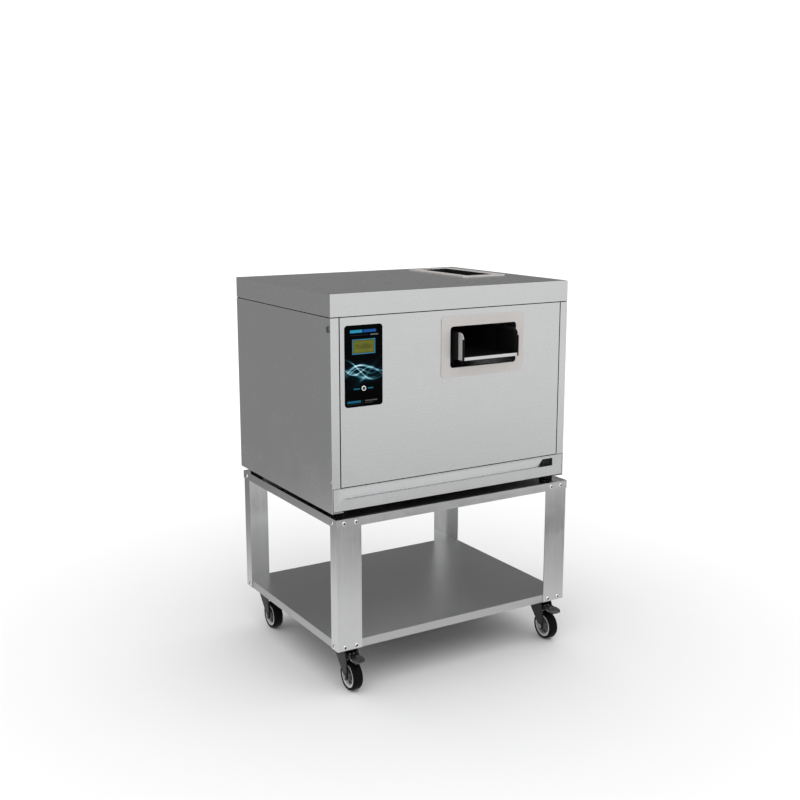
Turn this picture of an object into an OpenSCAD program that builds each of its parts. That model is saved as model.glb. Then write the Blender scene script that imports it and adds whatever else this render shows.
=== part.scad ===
// Cutlery drying and polishing machine with a vibrating tank, standing on a
// wheeled trolley.  Sheet-steel cabinet, tilting front panel, inlet slot in the
// top cover, spiral ramp and outlet chute, germicidal lamp over the outlet.
// Millimetres, +Z up, front faces -Y, origin on the floor under the middle.

/* [Cabinet] */
// Width of the cabinet
cab_w = 700; // [690:1:720]
// Depth of the cabinet
cab_d = 542.5; // [540:0.5:560]
// Height of the cabinet top above the floor
cab_top = 979; // [970:1:1000]
// Height of the underside of the side panels above the floor
cab_bot = 454.9; // [454.9:0.1:456]
// Sheet thickness of the cabinet
sheet = 1.5; // [1.2:0.1:1.5]
// Height of the skirt of the top cover
skirt_h = 53.5; // [40:0.5:60]
// Height of the dark seam under the top cover
seam = 2; // [1:0.5:3]
// Width of the front stiles on both sides
stile_w = 22; // [20:1:24]

/* [Front] */
// Height of the lower edge of the front panel above the floor
door_bot = 517.1; // [516.5:0.1:520]
// Depth of the folded edges of the front panel
door_fold = 20; // [16:1:22]
// Height of the pivot pins above the floor
pivot_z = 532.6; // [530:0.1:535]
// Distance of the pivot pins behind the front face
pivot_y = 5; // [4.8:0.1:5.2]
// Height of the top of the front rail
rail_top = 514.8; // [514:0.1:515]

/* [Outlet] */
// Left edge of the outlet opening from the left side
out_x0 = 332; // [331:1:333]
// Right edge of the outlet opening
out_x1 = 533; // [532:1:534]
// Lower edge of the outlet opening
out_z0 = 779.3; // [778:0.1:781]
// Upper edge of the outlet opening
out_z1 = 882.2; // [881:0.1:884]
// How far the chute stands out of the front panel
chute_out = 35; // [25:1:40]
// Underside of the chute floor
chute_z = 800.6; // [800.6:0.1:801]

/* [Tank] */
// Outer radius of the vibrating tank
tank_r = 240; // [240:1:240]
// Turns of the spiral ramp
ramp_turns = 1.5; // [1.5:1:2.5]
// Radius of a tank spring
spring_r = 22; // [18:1:24]

/* [Trolley] */
// Width over the trolley top
tro_w = 701; // [701:1:701]
// Depth over the trolley top
tro_d = 547; // [545:1:547]
// Height of the trolley top
tro_z = 444.8; // [444.8:0.1:444.8]
// Height of the shelf surface
shelf_z = 131.9; // [125:0.1:140]
// Height of the folded edges of the top and the shelf
edge_h = 21.2; // [20:0.1:21.3]
// Width of the front face of a leg
leg_w = 67.6; // [60:0.1:70]
// Width of the side face of a leg
leg_d = 32.8; // [30:0.1:35]

/* [Casters] */
// Wheel radius
wheel_r = 37.5; // [37.5:0.1:38]
// Wheel width
wheel_w = 26.8; // [24:0.2:27]
// Trail of the wheel behind the swivel axis
trail = 30; // [28:1:31]

/* [Hidden] */
$fn = 48;
y_mid = 246.5;            // middle of the whole part, behind the cabinet front
cap_bot = cab_top - skirt_h;
body_top = cap_bot - seam;
cx = 275;                 // tank axis
cy = 285;
base_top = 459.6;         // top of the base plate
tank_bot = 560;
tank_top = 868;
plate_t = 4;
ty0 = -19;                // front face of the trolley top
ty1 = ty0 + tro_d;
tx0 = (cab_w - tro_w) / 2;
tx1 = tx0 + tro_w;
st = 1.5;                 // trolley sheet
lt = 2;                   // leg sheet
shelf_bot = shelf_z - edge_h;
top_edge = tro_z - edge_h;
sx = 46;                  // swivel axes from the sides
syf = 26.6;
syr = 482.4;
screw_z1 = 434;
screw_z0 = 119.5;
pedal_p = [-8, 90];       // pedal pivot from the swivel axis, and its height

// ---------- helpers ----------
// all sub-parts are drawn from the cabinet's lower left front corner
module place() translate([-cab_w / 2, -y_mid, 0]) children();
module box(a, b) translate(a) cube([b[0] - a[0], b[1] - a[1], b[2] - a[2]]);
module cyl_x(p, r, x0, x1, fn = 48) translate([x0, p[0], p[1]]) rotate([0, 90, 0]) cylinder(r = r, h = x1 - x0, $fn = fn);
module cyl_y(p, r, y0, y1, fn = 48) translate([p[0], y1, p[1]]) rotate([90, 0, 0]) cylinder(r = r, h = y1 - y0, $fn = fn);
module cyl_z(p, r, z0, z1, fn = 48) translate([p[0], p[1], z0]) cylinder(r = r, h = z1 - z0, $fn = fn);
// profile drawn in Y and Z, run along X
module along_x(x0, x1) translate([x0, 0, 0]) rotate([90, 0, 90]) linear_extrude(height = x1 - x0) children();
// profile drawn in X and Z, run along Y
module along_y(y0, y1) translate([0, y1, 0]) rotate([90, 0, 0]) linear_extrude(height = y1 - y0) children();
// rounded rectangle from corner a to corner b
module rrect(a, b, r) {
  translate([a[0] + r, a[1]]) square([b[0] - a[0] - 2 * r, b[1] - a[1]]);
  translate([a[0], a[1] + r]) square([b[0] - a[0], b[1] - a[1] - 2 * r]);
  for (x = [a[0] + r, b[0] - r], y = [a[1] + r, b[1] - r]) translate([x, y]) circle(r = r, $fn = 32);
}
module mirror_x() translate([cab_w, 0, 0]) mirror([1, 0, 0]) children();
// tray with folded edges pointing down
module tray(a, b, z0, z1, t) difference() {
  box([a[0], a[1], z0], [b[0], b[1], z1]);
  box([a[0] + t, a[1] + t, z0 - 1], [b[0] - t, b[1] - t, z1 - t]);
}

// ---------- cabinet ----------
module base_plate() color([0.62, 0.63, 0.64]) place() difference() {
  union() {
    box([sheet, 12, base_top - 3.2], [cab_w - sheet, cab_d - 3, base_top]);
    // folded edges that stiffen the plate
    box([sheet, 60, base_top], [sheet + 1.5, cab_d - 4, base_top + 28]);
    box([cab_w - sheet - 1.5, 60, base_top], [cab_w - sheet, cab_d - 4, base_top + 28]);
    // seats that centre the tank springs
    for (x = [-190, 190], y = [-190, 190]) cyl_z([cx + x, cy + y], spring_r - 4.2, base_top, base_top + 6);
  }
  for (x = [32, cab_w - 32], y = [32, cab_d - 32]) cyl_z([x, y], 4.2, base_top - 5, base_top + 1);
}

module rail_profile() polygon([[0, 459.6], [27, 459.6], [27, 461.1], [1.5, 461.1], [1.5, rail_top - 1.5], [25, rail_top - 1.5], [25, rail_top], [0, rail_top]]);
module rail_recess() polygon([[0, 459.6], [27, 459.6], [27, 461.1], [1.5, 461.1], [1.5, 484.9], [9.6, 484.9], [9.6, 486.6], [1.5, 508.6], [1.5, rail_top - 1.5], [25, rail_top - 1.5], [25, rail_top], [0, rail_top], [0, 508], [8, 486.4], [0, 486.4]]);
module rail_end() polygon([[0, 484.9], [9.6, 484.9], [9.6, 486.6], [1.5, 508.6], [0, 508.6]]);
module front_rail() color([0.70, 0.71, 0.72]) place() difference() {
  union() {
    along_x(3, 36) rail_profile();
    along_x(36, 664.5) rail_recess();
    along_x(664.5, cab_w - 3) rail_profile();
    along_x(34.5, 36) rail_end();
    along_x(664.5, 666) rail_end();
  }
  // cut-out of the main switch
  box([630.5, -1, 487], [664.5, 12, 507.4]);
}

module switch_housing() color([0.06, 0.06, 0.065]) place() difference() {
  union() {
    box([630.5, 0.8, 487], [664.5, 3.2, 507.4]);
    box([632.5, 3.2, 488.2], [662.5, 24, 506.2]);
    for (x = [638, 647.5, 657]) box([x - 2.4, 24, 496], [x + 2.4, 31, 496.8]);
  }
  box([635.2, -1, 489.6], [659.8, 14.5, 504.8]);
  cyl_z([647.5, 8], 1.55, 488.8, 505.6);
}

module switch_rocker() color([0.09, 0.09, 0.095]) place() translate([647.5, 8, 0]) rotate([0, 0, -10]) union() {
  translate([0, 0, 490]) linear_extrude(height = 14.4)
    polygon([[-11.5, -3.6], [-6, -2.6], [0, -2.2], [6, -2.6], [11.5, -3.6], [10.6, 3.4], [-10.6, 3.4]]);
  cyl_z([0, 0], 1.5, 489.1, 505.3);
}

module side_skin() difference() {
  union() {
    // skin, front stile, rear flange
    box([0, 0, cab_bot], [sheet, cab_d, body_top]);
    box([0, 0, 516], [stile_w, sheet, body_top]);
    box([0, cab_d - sheet, cab_bot], [18, cab_d, body_top]);
    // joggled upper edge that the cover sits over
    box([0, sheet, body_top - sheet], [4.5, cab_d - 3, body_top]);
    box([3, 4, body_top - sheet], [4.5, cab_d - 3, cab_top - sheet]);
    // bottom flange
    box([0, sheet + 0.5, cab_bot], [31, cab_d - 3, cab_bot + sheet]);
  }
  // the stile stops above the rail
  box([-1, -1, cab_bot - 1], [0.01, sheet, cab_bot - 0.5]);
  cyl_x([10, 897], 7.3, -1, 5);
  cyl_x([pivot_y, pivot_z], 4.05, -1, 5);
  for (y = [32, cab_d - 32]) cyl_z([32, y], 4.2, cab_bot - 1, cab_bot + 3);
  for (z = [485, 590, 695, 800, 900]) cyl_y([9, z], 3.2, cab_d - 4, cab_d + 1);
}
module side_panel_left() color([0.56, 0.57, 0.58]) place() side_skin();
module side_panel_right() color([0.56, 0.57, 0.58]) place() mirror_x() side_skin();

module rear_panel() color([0.60, 0.61, 0.62]) place() difference() {
  box([sheet, cab_d - 3, base_top - 3.2], [cab_w - sheet, cab_d - sheet, cab_top - sheet]);
  // ventilation slots
  for (i = [0:7]) for (x = [90, 500]) box([x, cab_d - 4, 640 + i * 16], [x + 110, cab_d, 644 + i * 16]);
  // cut-out of the power inlet
  box([576, cab_d - 5, 521], [604, cab_d, 541]);
  for (s = [0, 1], z = [485, 590, 695, 800, 900]) cyl_y([s == 0 ? 9 : cab_w - 9, z], 3.2, cab_d - 4, cab_d + 1);
}

module power_inlet() color([0.07, 0.07, 0.075]) place() difference() {
  union() {
    box([566, cab_d - sheet, 516], [614, cab_d + 1, 546]);
    box([576.2, cab_d - 22, 521.2], [603.8, cab_d - sheet, 540.8]);
    for (x = [583, 590, 597]) box([x - 2.4, cab_d - 30, 530], [x + 2.4, cab_d - 22, 530.8]);
  }
  box([578, cab_d - 16, 523.5], [602, cab_d + 2, 538.5]);
}

module top_cover() color([0.60, 0.61, 0.62]) place() difference() {
  tray([0, 0], [cab_w, cab_d], cap_bot, cab_top, sheet);
  box([538.5, 227.5, cab_top - 5], [627.5, 466.5, cab_top + 5]);
}

module inlet_frame() color([0.78, 0.76, 0.75]) place() difference() {
  union() {
    translate([0, 0, cab_top]) linear_extrude(height = 3.3) rrect([513, 209.5], [653, 489.5], 4);
    box([538.5, 227.5, cab_top - 12], [627.5, 466.5, cab_top + 1]);
  }
  translate([0, 0, cab_top - 20]) linear_extrude(height = 40) rrect([540, 229], [626, 465], 3);
}

// trough from the inlet slot down into the tank
hop = [[455, 224.5], [631, 224.5], [631, 469.5], [535, 469.5], [455, 400]];
module inlet_hopper() color([0.66, 0.67, 0.68]) place() difference() {
  intersection() {
    along_y(200, 500) polygon([[455, 874], [631, 947.9], [631, cab_top - sheet], [455, cab_top - sheet]]);
    translate([0, 0, 850]) linear_extrude(height = 200) polygon(hop);
  }
  intersection() {
    along_y(200, 500) polygon([[440, 869.2], [640, 953.2], [640, 1000], [440, 1000]]);
    translate([0, 0, 850]) linear_extrude(height = 200)
      polygon([[450, 226], [629.5, 226], [629.5, 468], [535.5, 468], [450, 393.7]]);
  }
}

module foot() {
  rotate_extrude($fn = 48) polygon([[0, 0], [17, 0], [18, 1], [17, 10.1], [0, 10.1]]);
  cyl_z([0, 0], 4, 10, 26, 32);
}
module machine_feet() color([0.05, 0.05, 0.05]) place()
  for (x = [32, cab_w - 32], y = [32, cab_d - 32]) translate([x, y, tro_z]) foot();

// compression spring as a swept wire
function coil_pt(i, n, turns, r, z0, z1) = [r * cos(360 * turns * i / n), r * sin(360 * turns * i / n), z0 + (z1 - z0) * i / n];
module spring(r, wire, z0, z1, turns, seg = 14, side = 6) {
  n = turns * seg;
  pts = [for (i = [0:n]) let(c = coil_pt(i, n, turns, r, z0, z1), a = 360 * turns * i / n)
    for (j = [0:side - 1]) let(b = 360 * j / side)
      [c[0] + wire * cos(b) * cos(a), c[1] + wire * cos(b) * sin(a), c[2] + wire * sin(b)]];
  faces = concat([[for (j = [0:side - 1]) j]], [[for (j = [side - 1:-1:0]) n * side + j]],
    [for (i = [0:n - 1]) for (j = [0:side - 1]) [i * side + j, (i + 1) * side + j, (i + 1) * side + (j + 1) % side, i * side + (j + 1) % side]]);
  polyhedron(points = pts, faces = faces, convexity = 10);
}
module tank_springs() color([0.75, 0.75, 0.76]) place()
  for (x = [-190, 190], y = [-190, 190]) translate([cx + x, cy + y, 0])
    spring(spring_r, 3, base_top + 3.05, tank_bot - plate_t - 3.05, 6);

module pin() {
  cyl_x([pivot_y, pivot_z], 4, -1.5, sheet);
  cyl_x([pivot_y, pivot_z], 3, sheet - 0.2, 35);
}
module door_pins() color([0.8, 0.8, 0.8]) place() { pin(); mirror_x() pin(); }

// M6 button head screw with its nut, head towards -Z, grip from 0 to g
module screw(g) difference() {
  union() {
    rotate_extrude($fn = 32) polygon([[0, -2.5], [2.6, -2.5], [4.2, -1.7], [5, -0.4], [5, 0], [0, 0]]);
    cylinder(r = 3, h = g + 6, $fn = 32);
    translate([0, 0, g]) cylinder(r = 5.4, h = 4.6, $fn = 6);
  }
  translate([0, 0, -3]) cylinder(r = 1.9, h = 2, $fn = 6);
}
module front_screws() {
  for (x = [20.5, 53]) {
    translate([x, ty0, screw_z1]) rotate([-90, 0, 0]) screw(st + lt);
    translate([x, ty0 + st, screw_z0]) rotate([-90, 0, 0]) screw(st + lt);
  }
  translate([tx0, ty0 + 22, screw_z1]) rotate([0, 90, 0]) screw(st + lt);
  translate([tx0 + st, ty0 + 22, screw_z0]) rotate([0, 90, 0]) screw(st + lt);
}
module mirror_y() translate([0, ty0 + ty1, 0]) mirror([0, 1, 0]) children();
module button_screws() color([0.72, 0.72, 0.73]) place() {
  front_screws();
  mirror_x() front_screws();
  mirror_y() { front_screws(); mirror_x() front_screws(); }
  for (x = [9, cab_w - 9], z = [485, 590, 695, 800, 900]) translate([x, cab_d, z]) rotate([90, 0, 0]) screw(3);
}

module power_board() color([0.10, 0.32, 0.16]) place() {
  // board on four pillars, with its transformer, capacitors, relays and heat sink
  box([545, 80, 475.6], [675, 250, 477.2]);
  for (x = [552, 668], y = [87, 243]) cyl_z([x, y], 4, base_top, 475.6, 24);
  box([560, 95, 477.2], [612, 140, 515]);
  for (x = [628, 650]) cyl_z([x, 110], 9, 477.2, 507, 32);
  for (i = [0:2]) box([556 + i * 24, 200, 477.2], [574 + i * 24, 230, 493]);
  box([640, 160, 477.2], [643, 235, 512]);
  for (i = [0:4]) box([643, 162 + i * 16, 477.2], [660, 165 + i * 16, 512]);
}

module uv_lamp() color([0.86, 0.90, 0.95]) place() {
  cyl_y([431, 905], 8, 48, 320, 40);
  cyl_y([431, 905], 8.6, 40, 48, 40);
  cyl_y([431, 905], 8.6, 320, 328, 40);
}
module uv_lamp_sockets() color([0.85, 0.85, 0.83]) place() for (s = [0, 1]) {
  y0 = s == 0 ? 28 : 328;
  box([419, y0, 892], [443, y0 + 12, 930]);
  box([424, y0 + 3, 930], [438, y0 + 9, cab_top - sheet]);
}

// ---------- front panel ----------
module door_panel() color([0.72, 0.73, 0.74]) place() difference() {
  union() {
    difference() {
      box([24.8, 0, door_bot], [cab_w - 24.8, door_fold, body_top]);
      box([24.8 + sheet, sheet, door_bot + sheet], [cab_w - 24.8 - sheet, door_fold + 1, body_top - sheet]);
    }
    // pivot blocks
    box([24.8 + sheet, sheet, 524], [37, 13, 542]);
    box([cab_w - 37, sheet, 524], [cab_w - 24.8 - sheet, 13, 542]);
  }
  cyl_x([pivot_y, pivot_z], 3.05, 20, 40);
  cyl_x([pivot_y, pivot_z], 3.05, cab_w - 40, cab_w - 20);
  along_y(-2, 4) rrect([out_x0 - 1.5, out_z0 - 1.5], [out_x1 + 1.5, out_z1 + 1.5], 10);
  box([56.5, -1, 834.9], [118.8, 4, 870.6]);
  cyl_y([87.4, 752.8], 6.6, -1, 4);
}

module outlet_collar() color([0.78, 0.76, 0.75]) place() difference() {
  union() {
    along_y(-1.5, 0) rrect([305.6, 755.2], [557.1, 907.7], 10);
    along_y(-0.5, 8) rrect([out_x0 - 1.5, out_z0 - 1.5], [out_x1 + 1.5, out_z1 + 1.5], 10);
  }
  along_y(-3, 9) rrect([out_x0, out_z0], [out_x1, out_z1], 8.5);
}

module control_overlay() color([0.03, 0.03, 0.035]) place() difference() {
  along_y(-1.2, 0) rrect([36.7, 709.3], [138.6, 903.9], 8);
  box([58.5, -2, 836.9], [116.8, 1, 868.6]);
  cyl_y([87.4, 752.8], 6.6, -2, 1);
}

module lcd_screen() color([0.36, 0.38, 0.10]) place() {
  box([58.7, -0.8, 837.1], [116.6, 0, 868.4]);
  box([56.7, 0, 835.1], [118.6, sheet, 870.4]);
  box([54, sheet, 830], [121, 8, 876]);
}

module control_board() color([0.10, 0.32, 0.16]) place() {
  box([46, 12, 735], [130, 13.6, 886]);
  for (x = [51, 125], z = [740, 881]) cyl_y([x, z], 3, sheet, 12, 24);
  // switch behind the button, processor and connector
  box([83.4, 9.3, 748.8], [91.4, 12, 756.8]);
  box([74, 13.6, 780], [94, 16, 800]);
  box([60, 13.6, 820], [112, 17, 828]);
}

module start_button() color([0.75, 0.76, 0.77]) place() difference() {
  union() {
    cyl_y([87.4, 752.8], 6.25, -1.8, 8);
    cyl_y([87.4, 752.8], 8.2, 2.8, 4.2);
  }
  cyl_y([87.4, 752.8], 3.5, -2.5, -1.2);
}

module lock_one() difference() {
  union() {
    cyl_x([10, 897], 8.5, -1.5, 0);
    cyl_x([10, 897], 7, 0, 15);
    // cam arm
    along_x(15, 17.5) union() {
      translate([10, 897]) circle(r = 7, $fn = 40);
      translate([10, 892]) square([20, 10]);
    }
    cyl_x([10, 897], 4, 17.5, 21, 6);
  }
  // key slot
  box([-2, 9.1, 892], [-0.7, 10.9, 902]);
}
module lock_left() color([0.45, 0.46, 0.47]) place() lock_one();
module lock_right() color([0.45, 0.46, 0.47]) place() mirror_x() lock_one();

// ---------- vibrating tank ----------
module tank_floor() color([0.66, 0.67, 0.68]) place() difference() {
  union() {
    translate([cx, cy, 0]) rotate_extrude($fn = 96) polygon([[0, tank_bot], [tank_r, tank_bot],
      [tank_r, tank_bot + 2], [80, tank_bot + 2], [25, tank_bot + 34], [0, tank_bot + 34]]);
    // carrier plate on the springs
    box([cx - 220, cy - 220, tank_bot - plate_t], [cx + 220, cy + 220, tank_bot]);
  }
  // hollow of the middle cone
  translate([cx, cy, 0]) rotate_extrude($fn = 96) polygon([[0, tank_bot - 6], [60, tank_bot - 6], [60, tank_bot], [24, tank_bot + 31], [0, tank_bot + 31]]);
}
module tank_wall() color([0.66, 0.67, 0.68]) place() difference() {
  translate([cx, cy, 0]) rotate_extrude($fn = 96) polygon([[tank_r - 2, tank_bot + 2], [tank_r, tank_bot + 2], [tank_r, tank_top], [tank_r - 2, tank_top]]);
  // way out for the chute
  box([347.5, 20, chute_z], [530, cy, tank_top + 1]);
}

// helical ramp with a low lip on its inner edge
ramp_r0 = 110;
ramp_r1 = tank_r - 2.7;
module spiral_ramp() color([0.66, 0.67, 0.68]) place() translate([cx, cy, 0]) {
  n = 90;
  a0 = 360 * ramp_turns;
  z0 = tank_bot + 2.6;
  z1 = chute_z - 0.5;
  sec = [[ramp_r0, 0], [ramp_r1, 0], [ramp_r1, 2], [ramp_r0 + 2, 2], [ramp_r0 + 2, 12], [ramp_r0, 12]];
  pts = [for (i = [0:n]) let(a = a0 * (1 - i / n), z = z0 + (z1 - z0) * i / n) for (p = sec) [p[0] * cos(a), p[0] * sin(a), z + p[1]]];
  faces = concat([[5, 4, 3, 2, 1, 0]], [[for (j = [0:5]) n * 6 + j]],
    [for (i = [0:n - 1]) for (j = [0:5]) for (k = [0, 1]) k == 0
      ? [i * 6 + j, i * 6 + (j + 1) % 6, (i + 1) * 6 + (j + 1) % 6]
      : [i * 6 + j, (i + 1) * 6 + (j + 1) % 6, (i + 1) * 6 + j]]);
  polyhedron(points = pts, faces = faces, convexity = 10);
}

cw0 = 348;
cw1 = 515;
module chute_side() polygon([[-chute_out, chute_z], [cy, chute_z], [cy, 868.8], [-chute_out + 14, 868.8],
  [-chute_out + 8.6, 867.7], [-chute_out + 4.1, 864.7], [-chute_out + 1.1, 860.2], [-chute_out, 854.8]]);
module outlet_chute() color([0.70, 0.71, 0.72]) place() {
  along_x(cw0, cw0 + 1.5) chute_side();
  along_x(cw1 - 1.5, cw1) chute_side();
  box([cw0, -chute_out, chute_z], [cw1, cy, chute_z + 1.5]);
  box([cw0 + 1.5, -chute_out, chute_z], [cw1 - 1.5, -chute_out + 1.5, chute_z + 7.7]);
}
module chute_liner() color([0.05, 0.05, 0.055]) place() {
  // mat on the floor and both walls
  box([cw0 + 1.5, -chute_out + 1.5, chute_z + 1.5], [cw1 - 1.5, 56, chute_z + 4.5]);
  for (x = [cw0 + 1.5, cw1 - 4]) along_x(x, x + 2.5)
    polygon([[-chute_out + 10, chute_z + 4.5], [56, chute_z + 4.5], [56, 864], [-chute_out + 16, 864], [-chute_out + 10, 858]]);
  // edge strips over the front edges of the walls
  for (s = [0, 1]) {
    x = s == 0 ? cw0 : cw1 - 1.5;
    difference() {
      box([x - 0.9, -chute_out - 1.5, chute_z], [x + 2.4, -chute_out + 4, 853]);
      box([x, -chute_out, chute_z - 1], [x + 1.5, -chute_out + 20, 860]);
      // the lip and the floor pass behind the strips
      box([cw0, -chute_out, chute_z - 1], [cw1, 0, chute_z + 7.8]);
    }
  }
}

module motor_housing() color([0.35, 0.36, 0.38]) place() translate([cx, cy, 0]) difference() {
  union() {
    cyl_z([0, 0], 70, tank_bot - plate_t - 5, tank_bot - plate_t, 64);
    cyl_z([0, 0], 56, 494, tank_bot - plate_t - 5, 64);
    for (i = [0:11]) rotate([0, 0, i * 30]) box([54, -1.5, 498], [62, 1.5, tank_bot - plate_t - 5]);
  }
  cyl_z([0, 0], 48, 500, tank_bot - plate_t - 7, 64);
  cyl_z([0, 0], 8.05, 490, 501, 40);
  cyl_z([0, 0], 8.05, 540, tank_bot - plate_t - 2, 40);
}
module eccentric_rotor() color([0.55, 0.56, 0.58]) place() translate([cx, cy, 0]) {
  cyl_z([0, 0], 8, 468, 552, 40);
  cyl_z([0, 0], 40, 506, 540, 64);
  // weight below the housing, heavy on one side
  translate([0, 0, 472]) linear_extrude(height = 16) union() {
    circle(r = 14, $fn = 40);
    intersection() { circle(r = 44, $fn = 64); translate([-44, 0]) square([88, 44]); }
  }
}
module heater_ring() color([0.45, 0.43, 0.40]) place() translate([cx, cy, 0]) difference() {
  cyl_z([0, 0], tank_r + 4, 572, 606, 96);
  cyl_z([0, 0], tank_r, 571, 607, 96);
}

// ---------- trolley ----------
module screw_holes_top() for (my = [0, 1], mx = [0, 1])
  translate([mx * cab_w, my * (ty0 + ty1), 0]) mirror([mx, 0, 0]) mirror([0, my, 0]) {
    for (x = [20.5, 53]) cyl_y([x, screw_z1], 3.2, ty0 - 1, ty0 + 5, 24);
    cyl_x([ty0 + 22, screw_z1], 3.2, tx0 - 1, tx0 + 5, 24);
  }
module screw_holes_shelf() for (my = [0, 1], mx = [0, 1])
  translate([mx * cab_w, my * (ty0 + ty1), 0]) mirror([mx, 0, 0]) mirror([0, my, 0]) {
    for (x = [20.5, 53]) cyl_y([x, screw_z0], 3.2, ty0 - 1, ty0 + 6, 24);
    cyl_x([ty0 + 22, screw_z0], 3.2, tx0 - 1, tx0 + 6, 24);
  }
module trolley_top() color([0.62, 0.63, 0.64]) place() difference() {
  tray([tx0, ty0], [tx1, ty1], top_edge, tro_z, st);
  screw_holes_top();
}
so = st + lt;
module trolley_shelf() color([0.55, 0.56, 0.57]) place() difference() {
  union() {
    tray([tx0 + so, ty0 + so], [tx1 - so, ty1 - so], shelf_bot, shelf_z, st);
    // corner gussets that carry the casters
    for (mx = [0, 1], my = [0, 1]) translate([mx * cab_w, my * (ty0 + ty1), 0]) mirror([mx, 0, 0]) mirror([0, my, 0])
      box([tx0 + so + st, ty0 + so + st, shelf_bot], [84, 70, shelf_bot + 3]);
  }
  screw_holes_shelf();
  for (x = [sx, cab_w - sx], y = [syf, syr]) cyl_z([x, y], 6.1, shelf_bot - 1, shelf_bot + 4, 40);
}
module leg() difference() {
  union() {
    box([tx0 + st, ty0 + st, shelf_bot], [tx0 + st + leg_w, ty0 + st + lt, tro_z - st]);
    box([tx0 + st, ty0 + st, shelf_bot], [tx0 + st + lt, ty0 + st + leg_d, tro_z - st]);
  }
  for (x = [20.5, 53], z = [screw_z0, screw_z1]) cyl_y([x, z], 3.2, ty0 - 1, ty0 + 6, 24);
  for (z = [screw_z0, screw_z1]) cyl_x([ty0 + 22, z], 3.2, tx0 - 1, tx0 + 6, 24);
}
module leg_front_left() color([0.60, 0.61, 0.62]) place() leg();
module leg_front_right() color([0.60, 0.61, 0.62]) place() mirror_x() leg();
module leg_rear_left() color([0.60, 0.61, 0.62]) place() mirror_y() leg();
module leg_rear_right() color([0.60, 0.61, 0.62]) place() mirror_y() mirror_x() leg();

// ---------- casters, drawn around the swivel axis ----------
fz = shelf_bot;
module stem() {
  rotate_extrude($fn = 48) polygon([[0, fz - 15.2], [10, fz - 15.2], [11, fz - 14], [11, fz - 11.9], [6, fz - 11.9],
    [6, fz - 6], [26, fz - 6], [27, fz - 5], [27, fz], [6, fz], [6, fz + 16], [0, fz + 16]]);
  cyl_z([0, 0], 10.4, fz + 3, fz + 11, 6);
}
module caster_stems() color([0.10, 0.10, 0.105]) place()
  for (x = [sx, cab_w - sx], y = [syf, syr]) translate([x, y, 0]) stem();

arm_in = wheel_w / 2 + 2.4;
module fork_arm_2d() union() {
  translate([-trail, wheel_r]) circle(r = 10.5, $fn = 40);
  polygon([[-26, fz - 6.3], [25, fz - 6.3], [25, fz - 17], [-trail + 10.1, wheel_r + 2.8], [-trail - 10.4, wheel_r + 1.6], [-trail - 5, fz - 24]]);
}
module fork(brake) difference() {
  union() {
    for (x = [-arm_in - 3, arm_in]) along_x(x, x + 3) fork_arm_2d();
    box([-arm_in - 3, -26, fz - 11.3], [arm_in + 3, 25, fz - 6.3]);
    cyl_z([0, 0], 25, fz - 11.3, fz - 6.3);
    if (brake) cyl_x(pedal_p, 3, -arm_in - 3.5, arm_in + 3.5, 40);
  }
  cyl_z([0, 0], 6.05, fz - 20, fz, 48);
  cyl_x([-trail, wheel_r], 4.05, -40, 40, 40);
}
module axle() {
  cyl_x([-trail, wheel_r], 4, -arm_in - 3, arm_in + 3, 40);
  cyl_x([-trail, wheel_r], 6.5, -arm_in - 5.5, -arm_in - 3, 32);
  cyl_x([-trail, wheel_r], 6.5, arm_in + 3, arm_in + 7, 6);
}
module wheel_at() translate([0, -trail, wheel_r]) rotate([0, 90, 0]) children();
module rim() wheel_at() rotate_extrude($fn = 64) polygon([[4.05, -14.6], [9, -14.6], [9.6, -14], [9.6, -4], [22, -3], [23, -9.5], [24.5, -11.6], [30, -11.6],
  [30, 11.6], [24.5, 11.6], [23, 9.5], [22, 3], [9.6, 4], [9.6, 14], [9, 14.6], [4.05, 14.6]]);
module tyre() wheel_at() rotate_extrude($fn = 96) polygon([[30, -11.6], [31, -12.9], [33, -13.4], [35, -12.6], [36.6, -10.5], [37.3, -7], [wheel_r, -3],
  [wheel_r, 3], [37.3, 7], [36.6, 10.5], [35, 12.6], [33, 13.4], [31, 12.9], [30, 11.6]]);
module pedal() difference() {
  union() {
    // foot plate with a turned-down nose and a brake block under it
    along_x(-13.5, 13.5) polygon([[-6, 87], [-1, 87], [0.5, 89], [-1, 92.2], [-6, 94], [-60, 92.6], [-76, 90.6], [-78.6, 87.4], [-76.6, 84.4], [-70, 86.8], [-52, 87.4], [-36, 87.4], [-36, 81.5], [-24, 81.5], [-20, 87]]);
    cyl_x(pedal_p, 5.1, -13.5, 13.5, 40);
  }
  cyl_x(pedal_p, 3.05, -20, 20, 40);
}
module at_caster(c) place() translate(c == "fl" ? [sx, syf, 0] : c == "fr" ? [cab_w - sx, syf, 0] : c == "rl" ? [sx, syr, 0] : [cab_w - sx, syr, 0]) children();

base_plate();
front_rail();
side_panel_left();
side_panel_right();
rear_panel();
top_cover();
inlet_frame();
inlet_hopper();
machine_feet();
tank_springs();
door_pins();
button_screws();
power_board();
power_inlet();
uv_lamp();
uv_lamp_sockets();
switch_housing();
trolley_top();
trolley_shelf();
leg_front_left();
leg_front_right();
leg_rear_left();
leg_rear_right();
caster_stems();
door_panel();
outlet_collar();
control_overlay();
lcd_screen();
control_board();
start_button();
switch_rocker();
lock_left();
lock_right();
tank_floor();
tank_wall();
spiral_ramp();
outlet_chute();
chute_liner();
motor_housing();
heater_ring();
eccentric_rotor();
color([0.08, 0.08, 0.085]) at_caster("fl") fork(true);  // fork_fl
color([0.6, 0.6, 0.6]) at_caster("fl") axle();  // axle_fl
color([0.70, 0.70, 0.70]) at_caster("fl") rim();  // rim_fl
color([0.03, 0.03, 0.03]) at_caster("fl") tyre();  // tyre_fl
color([0.12, 0.12, 0.125]) at_caster("fl") pedal();  // pedal_fl
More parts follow.
